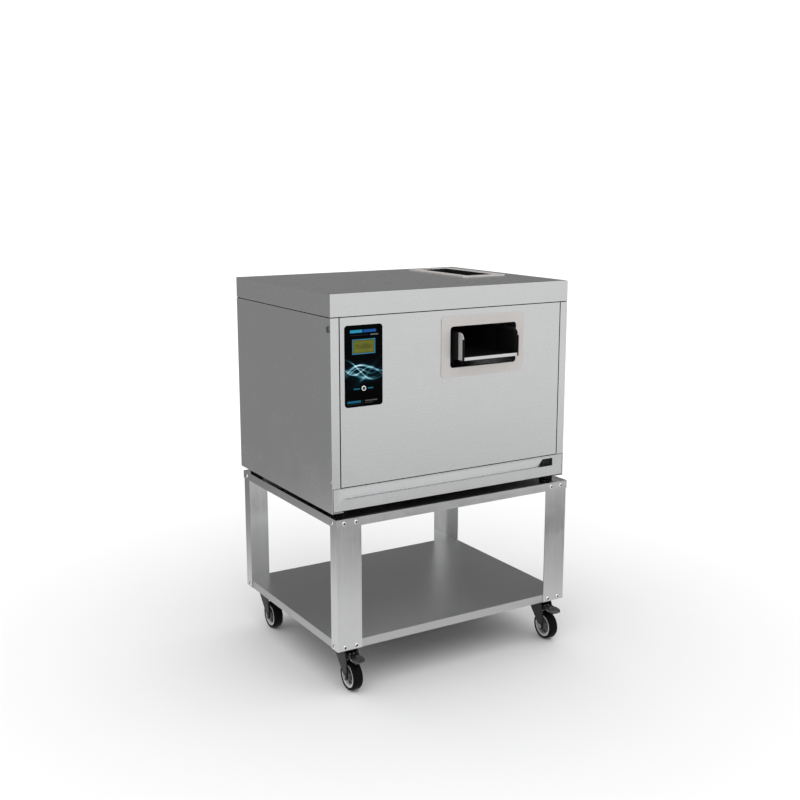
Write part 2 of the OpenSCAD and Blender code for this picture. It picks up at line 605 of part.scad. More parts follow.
color([0.08, 0.08, 0.085]) at_caster("fr") fork(true);  // fork_fr
color([0.6, 0.6, 0.6]) at_caster("fr") axle();  // axle_fr
color([0.70, 0.70, 0.70]) at_caster("fr") rim();  // rim_fr
color([0.03, 0.03, 0.03]) at_caster("fr") tyre();  // tyre_fr
color([0.12, 0.12, 0.125]) at_caster("fr") pedal();  // pedal_fr
color([0.08, 0.08, 0.085]) at_caster("rl") fork(false);  // fork_rl
color([0.6, 0.6, 0.6]) at_caster("rl") axle();  // axle_rl
color([0.70, 0.70, 0.70]) at_caster("rl") rim();  // rim_rl
color([0.03, 0.03, 0.03]) at_caster("rl") tyre();  // tyre_rl
color([0.08, 0.08, 0.085]) at_caster("rr") fork(false);  // fork_rr
color([0.6, 0.6, 0.6]) at_caster("rr") axle();  // axle_rr
color([0.70, 0.70, 0.70]) at_caster("rr") rim();  // rim_rr
color([0.03, 0.03, 0.03]) at_caster("rr") tyre();  // tyre_rr
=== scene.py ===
import math
import random

import bmesh
import bpy
from mathutils import Matrix, Vector


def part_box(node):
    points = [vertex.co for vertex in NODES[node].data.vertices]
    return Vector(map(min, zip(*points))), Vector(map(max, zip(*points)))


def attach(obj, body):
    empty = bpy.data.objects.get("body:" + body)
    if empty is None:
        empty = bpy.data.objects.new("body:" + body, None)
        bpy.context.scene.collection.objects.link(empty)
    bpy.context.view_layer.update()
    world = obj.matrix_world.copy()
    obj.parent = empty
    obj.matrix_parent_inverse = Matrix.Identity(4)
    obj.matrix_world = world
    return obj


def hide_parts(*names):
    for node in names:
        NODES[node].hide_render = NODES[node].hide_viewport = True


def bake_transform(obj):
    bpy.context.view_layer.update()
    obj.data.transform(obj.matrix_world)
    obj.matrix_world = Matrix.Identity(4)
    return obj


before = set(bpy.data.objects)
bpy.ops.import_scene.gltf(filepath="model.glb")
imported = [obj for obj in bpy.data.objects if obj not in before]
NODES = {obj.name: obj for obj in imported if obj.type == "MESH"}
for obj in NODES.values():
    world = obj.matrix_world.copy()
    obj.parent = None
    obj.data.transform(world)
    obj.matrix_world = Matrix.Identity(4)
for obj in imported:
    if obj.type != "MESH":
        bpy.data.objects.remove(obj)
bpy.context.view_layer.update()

scene = bpy.context.scene
MM = 0.001
# all places are given from the cabinet's left face and front face, in millimetres
X0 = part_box("side_panel_left")[0].x
Y0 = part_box("top_cover")[0].y


def P(x, y, z):
    return Vector((X0 + x * MM, Y0 + y * MM, z * MM))


# ------------------------------------------------------------------ materials
class Mat:
    """A Principled material with a few short ways to build its nodes."""

    def __init__(self, name, **sockets):
        self.mat = bpy.data.materials.new(name)
        self.mat.use_nodes = True
        self.nt = self.mat.node_tree
        self.bsdf = next(n for n in self.nt.nodes if n.type == "BSDF_PRINCIPLED")
        self.coord = self.nt.nodes.new("ShaderNodeTexCoord").outputs["Object"]
        for k, v in sockets.items():
            self.set(k.replace("_", " "), v)

    def set(self, socket, v):
        s = self.bsdf.inputs[socket]
        if isinstance(v, bpy.types.NodeSocket):
            self.nt.links.new(v, s)
        elif isinstance(v, (tuple, list)):
            s.default_value = tuple(v) + ((1.0,) if len(v) == 3 and len(s.default_value) == 4 else ())
        else:
            s.default_value = v

    def node(self, kind, **props):
        n = self.nt.nodes.new(kind)
        for k, v in props.items():
            setattr(n, k, v)
        return n

    def put(self, s, v):
        if isinstance(v, bpy.types.NodeSocket):
            self.nt.links.new(v, s)
        elif isinstance(v, (tuple, list)) and len(v) == 3 and len(s.default_value) == 4:
            s.default_value = tuple(v) + (1.0,)
        else:
            s.default_value = v

    def m(self, op, a, b=0.0, c=0.0, clamp=False):
        n = self.node("ShaderNodeMath", operation=op, use_clamp=clamp)
        for s, v in zip(n.inputs, (a, b, c)):
            self.put(s, v)
        return n.outputs[0]

    def scaled(self, v, coord=None):
        n = self.node("ShaderNodeVectorMath", operation="MULTIPLY")
        self.put(n.inputs[0], coord or self.coord)
        n.inputs[1].default_value = v
        return n.outputs[0]

    def noise(self, scale, detail=3.0, rough=0.5, coord=None, distortion=0.0):
        n = self.node("ShaderNodeTexNoise")
        self.put(n.inputs["Vector"], coord or self.coord)
        n.inputs["Scale"].default_value = scale
        n.inputs["Detail"].default_value = detail
        n.inputs["Roughness"].default_value = rough
        n.inputs["Distortion"].default_value = distortion
        return n.outputs["Fac"]

    def voronoi(self, scale, coord=None, feature="F1"):
        n = self.node("ShaderNodeTexVoronoi", feature=feature)
        self.put(n.inputs["Vector"], coord or self.coord)
        n.inputs["Scale"].default_value = scale
        return n.outputs["Distance"]

    def ramp(self, fac, stops):
        n = self.node("ShaderNodeValToRGB")
        self.put(n.inputs[0], fac)
        e = n.color_ramp.elements
        while len(e) < len(stops):
            e.new(0.5)
        for el, (p, c) in zip(e, stops):
            el.position = p
            el.color = tuple(c) + (1.0,) if len(c) == 3 else c
        return n.outputs["Color"]

    def range(self, v, a, b, lo, hi):
        n = self.node("ShaderNodeMapRange")
        for s, x in zip(n.inputs, (v, a, b, lo, hi)):
            self.put(s, x)
        return n.outputs[0]

    def mix(self, fac, a, b, kind="MIX"):
        n = self.node("ShaderNodeMix", data_type="RGBA", blend_type=kind)
        self.put(n.inputs["Factor"], fac)
        self.put(n.inputs[6], a)
        self.put(n.inputs[7], b)
        return n.outputs[2]

    def sep(self, coord=None):
        n = self.node("ShaderNodeSeparateXYZ")
        self.put(n.inputs[0], coord or self.coord)
        return n.outputs

    def bump(self, height, strength=0.2, distance=0.0005, after=None):
        n = self.node("ShaderNodeBump")
        n.inputs["Strength"].default_value = strength
        n.inputs["Distance"].default_value = distance
        self.put(n.inputs["Height"], height)
        if after is not None:
            self.put(n.inputs["Normal"], after)
        self.set("Normal", n.outputs[0])
        return n.outputs[0]


def tint(c, k):
    return tuple(min(1.0, x * k) for x in c)


GRAIN = {"x": (1.6, 210.0, 210.0), "y": (210.0, 1.6, 210.0), "z": (210.0, 210.0, 1.6)}


def brushed(name, color, rough=0.32, grain="x", streak=0.05, cloud=0.035, bump=0.05, spread=0.07):
    """Stainless steel sheet: fine grain one way, soft cloudiness, faint smears and rare hairline scratches."""
    m = Mat(name, Metallic=1.0)
    g = GRAIN[grain]
    fine = m.noise(9.0, 3.0, 0.65, m.scaled(g))
    coarse = m.noise(1.0, 2.0, 0.5, m.scaled(tuple(x * (0.9 if x > 10 else 0.5) for x in g)))
    soft = m.noise(3.2, 3.0, 0.55)
    smear = m.noise(11.0, 4.0, 0.6, distortion=0.6)
    t = m.m("ADD", m.range(fine, 0.25, 0.75, -streak, streak), m.range(coarse, 0.3, 0.7, -streak * 0.7, streak * 0.7))
    t = m.m("ADD", t, m.range(soft, 0.3, 0.7, -cloud, cloud))
    col = m.ramp(m.m("ADD", t, 0.5, clamp=True), [(0.0, tint(color, 0.5)), (0.5, color), (1.0, tint(color, 1.5))])
    # hairline scratches at odd angles, only here and there
    turned = m.node("ShaderNodeMapping")
    m.put(turned.inputs["Vector"], m.coord)
    turned.inputs["Rotation"].default_value = (0.5, 0.35, 0.8)
    turned.inputs["Scale"].default_value = (14.0, 420.0, 420.0)
    hair = m.noise(1.0, 1.0, 0.4, turned.outputs[0])
    hairline = m.m("MULTIPLY", m.range(hair, 0.72, 0.76, 0.0, 1.0), m.range(soft, 0.5, 0.62, 0.0, 1.0))
    col = m.mix(m.m("MULTIPLY", hairline, 0.03), col, tint(color, 1.35))
    m.set("Base Color", col)
    r = m.m("ADD", m.range(fine, 0.25, 0.75, rough - spread, rough + spread), m.range(smear, 0.35, 0.68, -0.015, 0.025))
    m.set("Roughness", r)
    m.bump(m.m("ADD", m.m("MULTIPLY", fine, 0.8), m.m("MULTIPLY", soft, 1.0)), bump, 0.00012)
    return m.mat


def satin(name, color, rough=0.38, metal=1.0, black_lining_and_shade=()):
    """Bead-blasted sheet: an even fine grain with slow changes of tone. Inside each box (corner, corner) it is painted
    near-black and matt: painted shade where the sheet lies deep in an opening, on the chute partly a black rubber
    lining.
    """
    m = Mat(name, Metallic=metal)
    grit = m.noise(1500.0, 2.0, 0.6)
    soft = m.noise(7.0, 3.0, 0.5)
    t = m.m("ADD", m.range(grit, 0.3, 0.7, -0.05, 0.05), m.range(soft, 0.3, 0.7, -0.05, 0.05))
    col = m.ramp(m.m("ADD", t, 0.5, clamp=True), [(0.0, tint(color, 0.6)), (0.5, color), (1.0, tint(color, 1.4))])
    r = m.m("ADD", m.range(grit, 0.3, 0.7, rough - 0.05, rough + 0.05), m.range(soft, 0.3, 0.7, -0.03, 0.03))
    # the boxes hold painted shade: the sheet turns near-black where it lies in the shade of an opening
    if black_lining_and_shade:
        inside = 0.0
        for corners in black_lining_and_shade:
            part = 1.0
            for v, lo, hi in zip(m.sep(), *corners):
                part = m.m("MULTIPLY", part, m.m("MULTIPLY", m.m("GREATER_THAN", v, lo), m.m("LESS_THAN", v, hi)))
            inside = m.m("MAXIMUM", inside, part)
        col = m.mix(inside, col, m.ramp(grit, [(0.3, (0.003, 0.003, 0.0033)), (0.7, (0.008, 0.008, 0.0085))]))
        r = m.m("MAXIMUM", r, m.m("MULTIPLY", inside, 0.8))
    m.set("Base Color", col)
    m.set("Roughness", r)
    m.bump(grit, 0.12, 0.00008)
    return m.mat


def polished(name, color, rough=0.16):
    """Turned or plated metal with faint turning marks and handling dulling."""
    m = Mat(name, Metallic=1.0)
    fine = m.noise(900.0, 2.0, 0.6)
    soft = m.noise(60.0, 3.0, 0.55)
    m.set("Base Color", m.ramp(m.range(soft, 0.25, 0.75, 0.0, 1.0), [(0.0, tint(color, 0.82)), (1.0, tint(color, 1.08))]))
    m.set("Roughness", m.m("ADD", m.range(soft, 0.3, 0.7, rough - 0.04, rough + 0.08), m.range(fine, 0.3, 0.7, -0.03, 0.03)))
    m.bump(fine, 0.08, 0.00005)
    return m.mat


def plastic(name, color, rough=0.4, grain=1100.0, bump=0.25, coat=0.0, dust=0.0, spec=0.5):
    """Moulded plastic or coated metal: fine texture, slow gloss changes, a little dust."""
    m = Mat(name)
    m.set("Specular IOR Level", spec)
    if coat:
        m.set("Coat Weight", coat)
        m.set("Coat Roughness", 0.08)
    grit = m.noise(grain, 2.0, 0.6)
    soft = m.noise(25.0, 4.0, 0.6)
    col = m.ramp(m.range(soft, 0.25, 0.75, 0.0, 1.0), [(0.0, tint(color, 0.78)), (0.55, color), (1.0, tint(color, 1.25))])
    if dust:
        speck = m.range(m.noise(340.0, 3.0, 0.7), 0.62, 0.74, 0.0, dust)
        col = m.mix(speck, col, (0.35, 0.35, 0.34))
    m.set("Base Color", col)
    m.set("Roughness", m.m("ADD", m.range(soft, 0.25, 0.75, rough - 0.06, rough + 0.07), m.range(grit, 0.3, 0.7, -0.03, 0.03)))
    m.bump(grit, bump, 0.00006)
    return m.mat


def box_mask(m, x, z, x0, x1, z0, z1, r, soft=0.00025):
    """1 inside a rounded rectangle in X and Z, metres, with a soft edge."""
    dx = m.m("MAXIMUM", m.m("SUBTRACT", m.m("ABSOLUTE", m.m("SUBTRACT", x, (x0 + x1) / 2)), (x1 - x0) / 2 - r), 0.0)
    dz = m.m("MAXIMUM", m.m("SUBTRACT", m.m("ABSOLUTE", m.m("SUBTRACT", z, (z0 + z1) / 2)), (z1 - z0) / 2 - r), 0.0)
    d = m.m("SQRT", m.m("ADD", m.m("MULTIPLY", dx, dx), m.m("MULTIPLY", dz, dz)))
    return m.range(d, r - soft, r + soft, 1.0, 0.0)


def overlay_material():
    """Glossy black overlay: plain bars, a blue window border and soft light trails."""
    m = Mat("overlay_print")
    m.set("Specular IOR Level", 0.02)
    x, _, z = m.sep()
    lo, hi = P(36.7, 0, 709.3), P(138.6, 0, 903.9)

    def px(v):
        return lo.x + (v - 36.7) * MM

    def pz(v):
        return v * MM

    u = m.m("DIVIDE", m.m("SUBTRACT", x, lo.x), hi.x - lo.x)  # 0 left, 1 right
    zc = pz(794.0)
    glow = None
    trails = [  # amplitude, turns, phase, slope, width, strength
        (0.0190, 0.62, 0.35, 0.030, 0.0017, 1.00),
        (0.0150, 0.80, 1.30, -0.030, 0.0014, 0.90),
        (0.0230, 0.50, 2.35, 0.022, 0.0036, 0.60),
        (0.0115, 1.05, 3.30, -0.014, 0.0012, 0.85),
        (0.0260, 0.45, 4.20, 0.042, 0.0050, 0.42),
        (0.0090, 1.30, 5.10, 0.010, 0.0010, 0.75),
        (0.0220, 0.56, 0.80, 0.036, 0.0012, 0.55),
    ]
    for amp, turns, phase, slope, width, power in trails:
        curve = m.m("MULTIPLY", m.m("SINE", m.m("ADD", m.m("MULTIPLY", u, turns * 2 * math.pi), phase)), amp)
        line = m.m("ADD", m.m("ADD", curve, m.m("MULTIPLY", m.m("SUBTRACT", u, 0.5), slope)), zc)
        d = m.m("DIVIDE", m.m("SUBTRACT", z, line), width)
        f = m.m("DIVIDE", power, m.m("ADD", m.m("MULTIPLY", d, d), 1.0))
        glow = f if glow is None else m.m("ADD", glow, f)
    centre = m.m("DIVIDE", m.m("SUBTRACT", u, 0.38), 0.42)
    envelope = m.m("DIVIDE", 1.0, m.m("ADD", m.m("MULTIPLY", centre, centre), 1.0))
    fade = box_mask(m, x, z, px(26), px(149), pz(762), pz(826), 0.014, 0.013)
    wisps = m.range(m.noise(1.0, 4.0, 0.6, m.scaled((30.0, 30.0, 170.0))), 0.2, 0.8, 0.55, 1.25)
    glow = m.m("MULTIPLY", m.m("MULTIPLY", m.m("MULTIPLY", glow, envelope), fade), wisps)
    art = m.ramp(m.m("MULTIPLY", glow, 0.72, clamp=True), [
        (0.0, (0.0004, 0.0005, 0.0007)), (0.17, (0.0012, 0.008, 0.012)), (0.42, (0.035, 0.14, 0.185)),
        (0.72, (0.30, 0.55, 0.62)), (1.0, (0.85, 0.95, 0.98))])
    bars = [  # place in mm, colour
        ((51.0, 84.0, 885.8, 892.6, 1.6), (0.025, 0.25, 0.40)),
        ((86.5, 121.0, 885.8, 892.6, 1.6), (0.012, 0.075, 0.26)),
        ((51.0, 100.0, 879.6, 880.5, 0.4), (0.020, 0.030, 0.035)),
        ((105.5, 127.0, 878.6, 881.4, 1.2), (0.13, 0.135, 0.135)),
        ((59.5, 76.5, 751.0, 754.0, 1.2), (0.012, 0.115, 0.18)),
        ((98.0, 113.0, 751.0, 754.0, 1.2), (0.012, 0.115, 0.18)),
        ((42.5, 79.0, 719.2, 724.6, 1.4), (0.010, 0.10, 0.17)),
        ((42.5, 79.0, 715.6, 716.6, 0.4), (0.020, 0.030, 0.035)),
        ((83.6, 84.2, 715.4, 724.8, 0.2), (0.05, 0.05, 0.05)),
        ((90.0, 124.0, 721.4, 724.2, 1.1), (0.075, 0.080, 0.080)),
        ((90.0, 112.0, 717.2, 718.6, 0.6), (0.045, 0.048, 0.048)),
    ]
    for (x0, x1, z0, z1, r), colour in bars:
        art = m.mix(box_mask(m, x, z, px(x0), px(x1), pz(z0), pz(z1), r * MM), art, colour)
    # blue border of the display
    border = box_mask(m, x, z, px(56.6), px(118.7), pz(835.0), pz(870.5), 0.0006)
    art = m.mix(border, art, (0.03, 0.19, 0.31))
    m.set("Base Color", art)
    dust = m.noise(60.0, 4.0, 0.6)
    m.set("Roughness", m.range(dust, 0.3, 0.7, 0.26, 0.36))
    m.bump(m.noise(700.0, 2.0, 0.5), 0.04, 0.00004)
    # printed light parts glow a little less than paper, so nothing is lit from behind
    return m.mat


def lcd_material():
    """Reflective liquid crystal display with a plain level pattern made of small cells."""
    m = Mat("lcd_cells", Coat_Weight=0.08, Coat_Roughness=0.12)
    m.set("Specular IOR Level", 0.15)
    x, _, z = m.sep()
    lo = P(58.7, 0, 837.1)
    cx = m.m("DIVIDE", m.m("SUBTRACT", x, lo.x), 0.0579)
    cz = m.m("DIVIDE", m.m("SUBTRACT", z, lo.z), 0.0313)
    col_i = m.m("FLOOR", m.m("MULTIPLY", cx, 16.0))
    level = m.range(m.m("SINE", m.m("MULTIPLY", col_i, 0.9)), -1.0, 1.0, 0.60, 0.74)
    inside_x = m.m("MULTIPLY", m.m("GREATER_THAN", cx, 0.12), m.m("LESS_THAN", cx, 0.88))
    inside_z = m.m("MULTIPLY", m.m("GREATER_THAN", cz, 0.34), m.m("LESS_THAN", cz, level))
    gap_x = m.m("LESS_THAN", m.m("FRACT", m.m("MULTIPLY", cx, 16.0)), 0.78)
    gap_z = m.m("LESS_THAN", m.m("FRACT", m.m("MULTIPLY", cz, 15.0)), 0.80)
    cells = m.m("MULTIPLY", m.m("MULTIPLY", inside_x, inside_z), m.m("MULTIPLY", gap_x, gap_z))
    fine = m.m("MULTIPLY", m.m("GREATER_THAN", m.m("FRACT", m.m("MULTIPLY", x, 2400.0)), 0.12), m.m("GREATER_THAN", m.m("FRACT", m.m("MULTIPLY", z, 2400.0)), 0.12))
    olive = m.mix(m.range(m.noise(45.0, 2.0, 0.5), 0.3, 0.7, 0.0, 1.0), (0.098, 0.105, 0.007), (0.140, 0.148, 0.010))
    olive = m.mix(m.m("MULTIPLY", fine, 0.12), olive, (0.10, 0.12, 0.01))
    edge = box_mask(m, x, z, lo.x + 0.0028, lo.x + 0.0551, lo.z + 0.0028, lo.z + 0.0285, 0.0008, 0.0012)
    olive = m.mix(m.m("SUBTRACT", 1.0, edge), olive, (0.075, 0.080, 0.006))
    m.set("Base Color", m.mix(m.m("MULTIPLY", cells, 0.62), olive, (0.024, 0.028, 0.005)))
    m.set("Roughness", m.range(m.noise(30.0, 3.0, 0.5), 0.3, 0.7, 0.18, 0.28))
    m.bump(cells, 0.05, 0.00003)
    return m.mat


def pcb_material():
    m = Mat("pcb_green", Coat_Weight=0.3, Coat_Roughness=0.15)
    x, y, z = m.sep()
    run = m.m("LESS_THAN", m.m("FRACT", m.m("MULTIPLY", m.m("ADD", x, m.m("MULTIPLY", m.noise(18.0, 1.0, 0.4), 0.02)), 320.0)), 0.42)
    area = m.range(m.noise(55.0, 1.0, 0.3), 0.47, 0.50, 0.0, 1.0)
    traces = m.m("MULTIPLY", run, area)
    base = m.mix(m.range(m.noise(12.0, 2.0, 0.5), 0.3, 0.7, 0.0, 1.0), (0.010, 0.095, 0.030), (0.016, 0.130, 0.045))
    pads = m.range(m.voronoi(230.0), 0.16, 0.19, 1.0, 0.0)
    col = m.mix(m.m("MULTIPLY", traces, 0.6), base, (0.035, 0.20, 0.07))
    m.set("Base Color", m.mix(m.m("MULTIPLY", pads, m.m("SUBTRACT", 1.0, area)), col, (0.55, 0.53, 0.48)))
    m.set("Roughness", m.range(m.noise(200.0, 2.0, 0.5), 0.3, 0.7, 0.32, 0.45))
    m.bump(traces, 0.15, 0.00005)
    return m.mat


def laminated_material():
    """Stack of core plates with varnish."""
    m = Mat("core_plates", Metallic=1.0)
    _, _, z = m.sep()
    line = m.m("ABSOLUTE", m.m("SUBTRACT", m.m("FRACT", m.m("MULTIPLY", z, 1600.0)), 0.5))
    m.set("Base Color", m.ramp(m.m("MULTIPLY", line, 2.0), [(0.0, (0.05, 0.045, 0.04)), (0.25, (0.24, 0.23, 0.22)), (1.0, (0.30, 0.29, 0.28))]))
    m.set("Roughness", m.range(m.noise(90.0, 3.0, 0.6), 0.3, 0.7, 0.35, 0.55))
    m.bump(line, 0.4, 0.0001)
    return m.mat


def copper_material():
    m = Mat("copper_winding", Metallic=1.0)
    x, y, z = m.sep()
    line = m.m("ABSOLUTE", m.m("SUBTRACT", m.m("FRACT", m.m("MULTIPLY", z, 1100.0)), 0.5))
    # each turn band is darkest in its middle, where the bump is lowest: painted shade in the grooves between turns
    m.set("Base Color", m.ramp(m.m("MULTIPLY", line, 2.0), [(0.0, (0.20, 0.06, 0.02)), (0.5, (0.62, 0.24, 0.09)), (1.0, (0.75, 0.33, 0.14))]))
    m.set("Roughness", m.range(m.noise(120.0, 3.0, 0.6), 0.3, 0.7, 0.25, 0.4))
    m.bump(line, 0.5, 0.0002)
    return m.mat


def glass_material():
    m = Mat("quartz_tube", Roughness=0.03, IOR=1.458)
    m.set("Transmission Weight", 1.0)
    m.set("Base Color", m.ramp(m.noise(30.0, 2.0, 0.5), [(0.3, (0.90, 0.94, 0.99)), (0.7, (0.95, 0.97, 1.0))]))
    m.set("Roughness", m.range(m.noise(60.0, 3.0, 0.5), 0.3, 0.7, 0.02, 0.07))
    return m.mat


def tyre_material():
    m = Mat("tyre_rubber")
    m.set("Specular IOR Level", 0.04)
    soft = m.noise(60.0, 4.0, 0.6)
    grit = m.noise(1400.0, 3.0, 0.6)
    dusty = m.range(m.noise(420.0, 3.0, 0.7), 0.60, 0.75, 0.0, 0.02)
    base = m.ramp(soft, [(0.25, (0.0025, 0.0025, 0.0028)), (0.75, (0.0060, 0.0060, 0.0064))])
    m.set("Base Color", m.mix(dusty, base, (0.22, 0.215, 0.21)))
    m.set("Roughness", m.range(soft, 0.25, 0.75, 0.42, 0.62))
    m.bump(grit, 0.35, 0.00008)
    return m.mat


def floor_material():
    m = Mat("floor_paper")
    m.set("Specular IOR Level", 0.0)
    x, y, _ = m.sep()
    r = m.m("SQRT", m.m("ADD", m.m("MULTIPLY", x, x), m.m("MULTIPLY", y, y)))
    # darker towards the centre, where the machine stands: painted shadow round the machine
    base = m.ramp(m.range(r, 0.0, 3.0, 0.0, 1.0), [(0.0, (0.785, 0.785, 0.788)), (0.22, (0.82, 0.82, 0.823)), (0.50, (0.895, 0.895, 0.897)), (0.85, (0.965, 0.965, 0.967)), (1.0, (0.985, 0.985, 0.987))])
    m.set("Base Color", m.mix(m.range(m.noise(0.8, 2.0, 0.5), 0.3, 0.7, 0.0, 0.2), base, (0.97, 0.97, 0.972), "MULTIPLY"))
    m.set("Roughness", m.range(m.noise(40.0, 2.0, 0.5), 0.3, 0.7, 0.9, 1.0))
    return m.mat


STEEL = (0.565, 0.568, 0.572)
M = {
    "cabinet_front": brushed("steel_front", STEEL, 0.27, "x", 0.009, 0.012, 0.005, 0.03),
    "cabinet": brushed("steel_cabinet", STEEL, 0.24, "y", 0.009, 0.010, 0.005, 0.03),
    "cabinet_rear": brushed("steel_rear", STEEL, 0.27, "x", 0.018, 0.016, 0.01),
    "cover": brushed("steel_cover", STEEL, 0.28, "x", 0.009, 0.012, 0.005, 0.03),
    "leg": brushed("steel_leg", (0.575, 0.577, 0.580), 0.17, "z", 0.040, 0.03, 0.03, 0.05),
    # darker than the trolley steel: painted shade under the trolley top
    "shelf": brushed("steel_shelf", (0.45, 0.452, 0.454), 0.34, "x", 0.020, 0.02, 0.012),
    "trolley": brushed("steel_trolley", (0.575, 0.577, 0.580), 0.18, "x", 0.025, 0.02, 0.02, 0.05),
    "tank": brushed("steel_tank", (0.55, 0.553, 0.557), 0.28, "z", 0.05, 0.05, 0.05),
    "inside": brushed("steel_inside", (0.50, 0.502, 0.505), 0.38, "x", 0.05, 0.05, 0.05),
    "trim": satin("steel_trim", (0.590, 0.568, 0.554), 0.46, metal=0.45),
    # chute: black between its walls and behind the door plane, partly its black rubber lining, partly painted shade
    # inside the outlet
    "chute": satin("steel_chute", (0.560, 0.558, 0.556), 0.34, metal=0.40, black_lining_and_shade=((P(348.9, -34.2, 790), P(514.1, 600, 875)), (P(340, -13.0, 790), P(523, 600, 875)))),
    # collar: black where it lies behind the door plane, painted shade inside the outlet opening
    "trim_collar": satin("steel_trim_collar", (0.530, 0.510, 0.497), 0.46, metal=0.45, black_lining_and_shade=((P(325, 0.25, 770), P(540, 20, 890)),)),
    # inlet frame: black on the inner walls of its opening, painted shade inside the inlet
    "trim_inlet": satin("steel_trim_inlet", (0.600, 0.578, 0.564), 0.46, metal=0.45, black_lining_and_shade=((P(539.4, 228.4, 900), P(626.6, 465.6, 981.4)),)),
    # near-black rubber for the strips in the gaps: painted shade in the seams
    "gasket": plastic("seam_shade_rubber", (0.0035, 0.0035, 0.0038), 0.75, 700.0, 0.3, dust=0.02, spec=0.05),
    "screw": polished("screw_steel", (0.74, 0.74, 0.745), 0.13),
    "spring": polished("spring_steel", (0.58, 0.585, 0.60), 0.22),
    "black": plastic("black_plastic", (0.006, 0.006, 0.0065), 0.36, dust=0.03, spec=0.18),
    "rubber": plastic("black_rubber", (0.0045, 0.0045, 0.005), 0.62, 700.0, 0.4, dust=0.03, spec=0.12),
    "overlay": overlay_material(),
    "lcd": lcd_material(),
    "pcb": pcb_material(),
    "glass": glass_material(),
    "ceramic": plastic("ceramic_white", (0.70, 0.69, 0.65), 0.30, 500.0, 0.15, coat=0.3),
    "button": polished("button_ring", (0.74, 0.745, 0.75), 0.20),
    "lock": polished("lock_nickel", (0.225, 0.225, 0.230), 0.30),
    "socket": plastic("socket_shadow", (0.010, 0.010, 0.011), 0.5, 900.0, 0.2, spec=0.2),
    "iron": plastic("painted_iron", (0.075, 0.085, 0.100), 0.42, 420.0, 0.5, dust=0.05),
    "rotor": polished("rotor_steel", (0.36, 0.365, 0.375), 0.28),
    "heater": brushed("heater_band", (0.42, 0.36, 0.28), 0.34, "z", 0.07, 0.10, 0.05),
    "caster": plastic("caster_coat", (0.006, 0.006, 0.0065), 0.36, 380.0, 0.25, dust=0.015, spec=0.22),
    "pedal": plastic("pedal_coat", (0.016, 0.016, 0.017), 0.26, 380.0, 0.25, coat=0.30, dust=0.03),
    "axle": polished("axle_zinc", (0.20, 0.20, 0.205), 0.26),
    "rim": plastic("rim_grey", (0.52, 0.52, 0.515), 0.33, 900.0, 0.15, dust=0.03),
    "rim_dark": plastic("rim_web", (0.115, 0.115, 0.118), 0.38, 900.0, 0.15, dust=0.05),
    "tyre": tyre_material(),
    "core": laminated_material(),
    "copper": copper_material(),
    "relay": plastic("relay_blue", (0.020, 0.075, 0.20), 0.35, 800.0, 0.15),
    "cap_sleeve": plastic("capacitor_sleeve", (0.012, 0.014, 0.028), 0.28, 800.0, 0.1, coat=0.3),
    "terminal": plastic("terminal_green", (0.030, 0.30, 0.10), 0.38, 800.0, 0.15),
    "chip": plastic("chip_black", (0.016, 0.016, 0.017), 0.45, 1500.0, 0.2),
    "floor": floor_material(),
}


# ------------------------------------------------------------------ mesh helpers
def finish_mesh(bm, name, mat, body=None, angle=35.0, replaces=()):
    bmesh.ops.remove_doubles(bm, verts=bm.verts, dist=1e-7)
    bmesh.ops.recalc_face_normals(bm, faces=bm.faces)
    me = bpy.data.meshes.new(name)
    bm.to_mesh(me)
    bm.free()
    me.polygons.foreach_set("use_smooth", [True] * len(me.polygons))
    me.set_sharp_from_angle(angle=math.radians(angle))
    o = bpy.data.objects.new(name, me)
    scene.collection.objects.link(o)
    for x in mat if isinstance(mat, (list, tuple)) else [mat]:
        me.materials.append(M[x] if isinstance(x, str) else x)
    if body:
        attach(o, body)
    if replaces:
        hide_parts(*replaces)
    return o


def axis_matrix(origin, axis):
    """Maps local +Z to the axis, at the origin."""
    return Matrix.Translation(origin) @ Vector(axis).to_track_quat("Z", "Y").to_matrix().to_4x4()


def add_lathe(bm, profile, seg, matrix, closed=True, mat=0):
    """Turns a profile of (radius, height) in mm around local Z. A closed profile makes a ring, an open one starts and ends on the axis."""
    rings = []
    for r, h in profile:
        if r < 1e-6:
            rings.append([bm.verts.new(matrix @ Vector((0, 0, h * MM)))])
        else:
            rings.append([bm.verts.new(matrix @ Vector((r * MM * math.cos(2 * math.pi * i / seg), r * MM * math.sin(2 * math.pi * i / seg), h * MM))) for i in range(seg)])
    pairs = list(zip(rings, rings[1:])) + ([(rings[-1], rings[0])] if closed else [])
    for a, b in pairs:
        for i in range(seg):
            j = (i + 1) % seg
            if len(a) == 1 and len(b) == 1:
                continue
            if len(a) == 1:
                f = bm.faces.new((a[0], b[i], b[j]))
            elif len(b) == 1:
                f = bm.faces.new((a[i], a[j], b[0]))
            else:
                f = bm.faces.new((a[i], a[j], b[j], b[i]))
            f.material_index = mat
            f.smooth = True
    return rings


def soften(points, r, steps=3):
    """Rounds the corners of a profile by up to r."""
    out = []
    n = len(points)
    for i, p in enumerate(points):
        a, b = Vector(points[i - 1]), Vector(points[(i + 1) % n])
        p = Vector(p)
        da, db = a - p, b - p
        if da.length < 1e-9 or db.length < 1e-9 or p.x < 1e-6:
            out.append(tuple(p))
            continue
        k = min(r, da.length * 0.45, db.length * 0.45)
        if abs(da.normalized().dot(db.normalized())) > 0.995:
            out.append(tuple(p))
            continue
        s, e = p + da.normalized() * k, p + db.normalized() * k
        for t in range(steps + 1):
            u = t / steps
            q = s * (1 - u) ** 2 + p * 2 * u * (1 - u) + e * u * u
            out.append(tuple(q))
    return out


